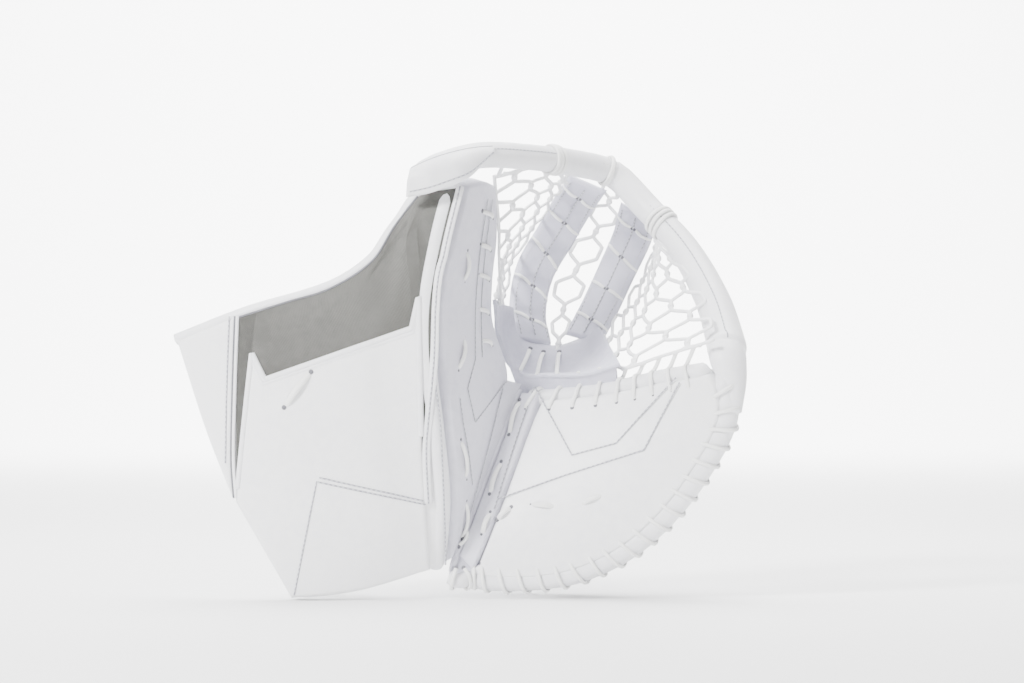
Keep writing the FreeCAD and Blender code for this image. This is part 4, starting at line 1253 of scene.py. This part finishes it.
def cap_patch(u, v):
    """The cap: ruled from its lower edge to the bead's front, bulging forwards by sin pi v."""
    u, v = grids(u, v)
    ease = np.clip((u - 0.5) / 0.5, 0, 1) ** 2
    v = (v + (1 - v) * 0.62 * ease)[..., None]
    crease = 0.0005 * np.sin(26 * u + 5 * v[..., 0]) * np.sin(np.pi * v[..., 0])
    flat = CAP_LOW(u) * (1 - v) + CAP_HIGH(u) * v + np.array([0.0, -1.0, 0.0]) * crease[..., None]
    bulge = np.array([0, -7, 3]) * np.sin(np.pi * v)
    return flat + (np.array([-3, -15, 0]) + v * np.array([0, 9, 0]) + bulge) / 1000


cap = skin("bead_cap", *cushion(cap_patch, -0.0026, 0.0004, 0.003), 40, 24)
dress(cap, edge_leather, THUMB, "thumb_cap")
t = np.linspace(0.04, 0.96, 60)
sew("bead_cap_seam", THUMB, [traced(cap_patch, t, v, 0.0004) for v in (0.14, 0.86)])


# %% [markdown]
# ## The back of the glove
# Behind the palm are a padded cover over the hand, two finger stalls and a thumb stall, and the wrist
# strap, which closes on touch tape. They are plain, well-made pieces that the wearer sees.

# %% The back of the glove
LEATHER, FELT, PLATE, GAP = 0.0024, 0.008, 0.0016, 0.0015
PAD_DEEP = LEATHER + FELT + PLATE + GAP
COVER_BACK = 0.042


def back_patch(u, v):
    """The cover over the hand: the palm pushed back by 42 mm, less towards the fingers."""
    share = np.maximum(np.asarray(u) - 0.6, 0) / 0.4
    rise = 1 - 0.8 * (1 - np.cos(np.pi * share)) / 2
    return FINGER_PALM(u, v) - normal(FINGER_PALM, u, v) * (PAD_DEEP + COVER_BACK * rise)[..., None]


cover = window(back_patch, 0.14, 0.86, 0.2, 0.97)
inside = skin("hand_lining", offset(cover, 0.0), offset(cover, -0.0018), 40, 40)
dress(inside, lining_cloth, FINGERS, "hand_back_liner")


def quilted(u, v):
    """The outer face of the cover: three long pads with sewn channels between, round at the edges."""
    edge = np.minimum(np.minimum(u, 1 - u), np.minimum(v, 1 - v))
    channel = np.abs(np.sin(3 * np.pi * v)) ** 0.35
    return -(0.0030 + (0.0078 + 0.0060 * channel) * quarter_round(edge, 0.06))


cover_pad = skin("hand_back_cover", offset(cover, -0.0020), offset(cover, quilted), 90, 110)
dress(cover_pad, white_leather, FINGERS, "hand_back_foam", "hand_back_shell", fill=0.7)
cut_sheet(cover)


def sleeve(name, start, end, face, half_wide, half_high, body, node_name):
    """A flattened finger sleeve: an oval carried along, with a wall, open at the start and round at
    the far end."""
    way = unit(end - start)
    side = unit(np.cross(way, face))
    out = np.cross(side, way)
    length = np.linalg.norm(end - start)
    tip = 0.86
    t = np.linspace(0.2, 1, 8) * np.pi / 2
    t = np.concatenate([np.linspace(0, tip, 14), tip + (1 - tip) * np.sin(t)])
    fade = np.sqrt(np.clip(1 - (np.clip(t - tip, 0, 1) / (1 - tip)) ** 2, 0.0004, 1))
    a = np.linspace(0, 2 * np.pi, 36, endpoint=False)

    def tube(wall):
        shape = (np.cos(a)[None, :, None] * side * (half_wide - wall)
                 + np.sin(a)[None, :, None] * out * (half_high - wall))
        run = (t * (1 - wall / length))[:, None, None]
        return start + (way * length)[None, None] * run + shape * fade[:, None, None]
    outer, inner = tube(0.0), tube(STALL_WALL)
    n, m = outer.shape[:2]
    k = np.arange(m)
    faces = [quads(n, m, 0, loop_v=True, turn=True), quads(n, m, n * m, loop_v=True),
             np.stack([k, (k + 1) % m, n * m + (k + 1) % m, n * m + k], axis=1)]
    tips = [outer[-1].mean(axis=0), inner[-1].mean(axis=0)]
    base = (n - 1) * m
    cap_out = np.stack([base + k, base + (k + 1) % m, np.full(m, 2 * n * m)], axis=1)
    cap_in = np.stack([n * m + base + (k + 1) % m, n * m + base + k, np.full(m, 2 * n * m + 1)], axis=1)
    points = np.concatenate([outer.reshape(-1, 3), inner.reshape(-1, 3), tips])
    run = np.stack(np.meshgrid(t * length, a * half_wide, indexing="ij"), -1).reshape(-1, 2)
    piece = build(name, [(points, np.concatenate(faces), np.concatenate([cap_out, cap_in]),
                          np.concatenate([run, run, run[:2]]))])
    dress(piece, lining_cloth, body, node_name)


STALL_WALL, FINGER_HALF, HALF_HIGH = 0.0014, 0.0234, 0.0144
depth = PAD_DEEP + 0.002 + 0.013 + STALL_WALL
for name, node_name, share in (("index_sleeve", "index_finger_stall", 0.8),
                               ("little_sleeve", "little_finger_stall", 0.5)):
    u, v = np.array([0.34, 0.66]), np.full(2, share)
    ends = FINGER_PALM(u, v) - normal(FINGER_PALM, u, v) * depth
    sleeve(name, *ends, normal(FINGER_PALM, 0.5, share), FINGER_HALF, HALF_HIGH, FINGERS, node_name)
sleeve("thumb_sleeve", at(-7.5, -27.5, 44), at(-5.9, -26, 82), np.array([0.0, -1.0, 0.0]), HALF_HIGH,
       HALF_HIGH, THUMB, "thumb_stall")

STACK = 0.0016 + 0.013 + 0.002 + 0.0016 + 0.002
TIED = 0.0024 + 2 * 0.0016 + 4 * 0.0005
RISE = through(*[np.array(p) / 1000 for p in (
    (0, 5), (6, 33), (30, 60.72), (62, 66), (92, 52.8), (112, 23.1), (126, 9), (140, TIED * 1000),
    (166, TIED * 1000))])
STRAP_WIDE, STRAP_THICK = 0.064, 0.0024


def strap_base(u, v):
    return BOARD(0.36 + 0.55 * np.asarray(u), 0.1 + 0.85 * np.asarray(v))


TALL = np.linalg.norm(strap_base(0.5, 1.0) - strap_base(0.5, 0.0))
WIDE = np.linalg.norm(strap_base(1.0, 0.5) - strap_base(0.0, 0.5))


def strap_patch(u, v):
    """The wrist strap: along v it follows the arch in RISE, behind the board; across u it is 64 mm."""
    way = RISE(v)
    a, b = STRAP_WIDE / WIDE * np.asarray(u), way[..., 0] / TALL
    a, b = np.broadcast_arrays(a, b)
    return strap_base(a, b) - normal(strap_base, a, b) * (STACK + way[..., 1])[..., None]


band = skin("wrist_strap_band", offset(strap_patch, 0.0), offset(strap_patch, -STRAP_THICK), 16, 130)
dress(band, white_leather, STRAP, "strap_band", slot="strap_webbing")
v = np.linspace(0.02, 0.98, 120)
seams = [traced(strap_patch, u, v, -0.0025) for u in (0.06, 0.94)]
sew("wrist_strap_stitches", STRAP, [(p, -n) for p, n in seams])
pad_patch = window(strap_patch, 0.06, 0.94, 0.2, 0.62)
strap_pad = skin("wrist_strap_pad", *cushion(pad_patch, 0.0006, 0.0074, 0.005), 24, 50)
dress(strap_pad, lining_cloth, STRAP, "strap_pad", fill=0.6)

# %% [markdown]
# The tapes and the plate under them keep their engineering shape, and only take a finish.

# %% Pieces that keep their engineering shape
KEPT = {"strap_hook_tape": grip_tape, "strap_loop_tape": grip_tape, "strap_landing": white_leather}
for name, material in KEPT.items():
    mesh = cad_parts[name].data
    mesh.materials.clear()
    mesh.materials.append(material)

# %% [markdown]
# ## Size
# The dressed glove has to stay the size of its engineering model, so both boxes are printed.

# %% Size and finish
dressed_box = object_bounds()
plain = lambda box: [[float(x) for x in corner] for corner in box]
{"cad": plain(cad_box), "visual": plain(dressed_box)}
print("dressed box", plain(dressed_box))
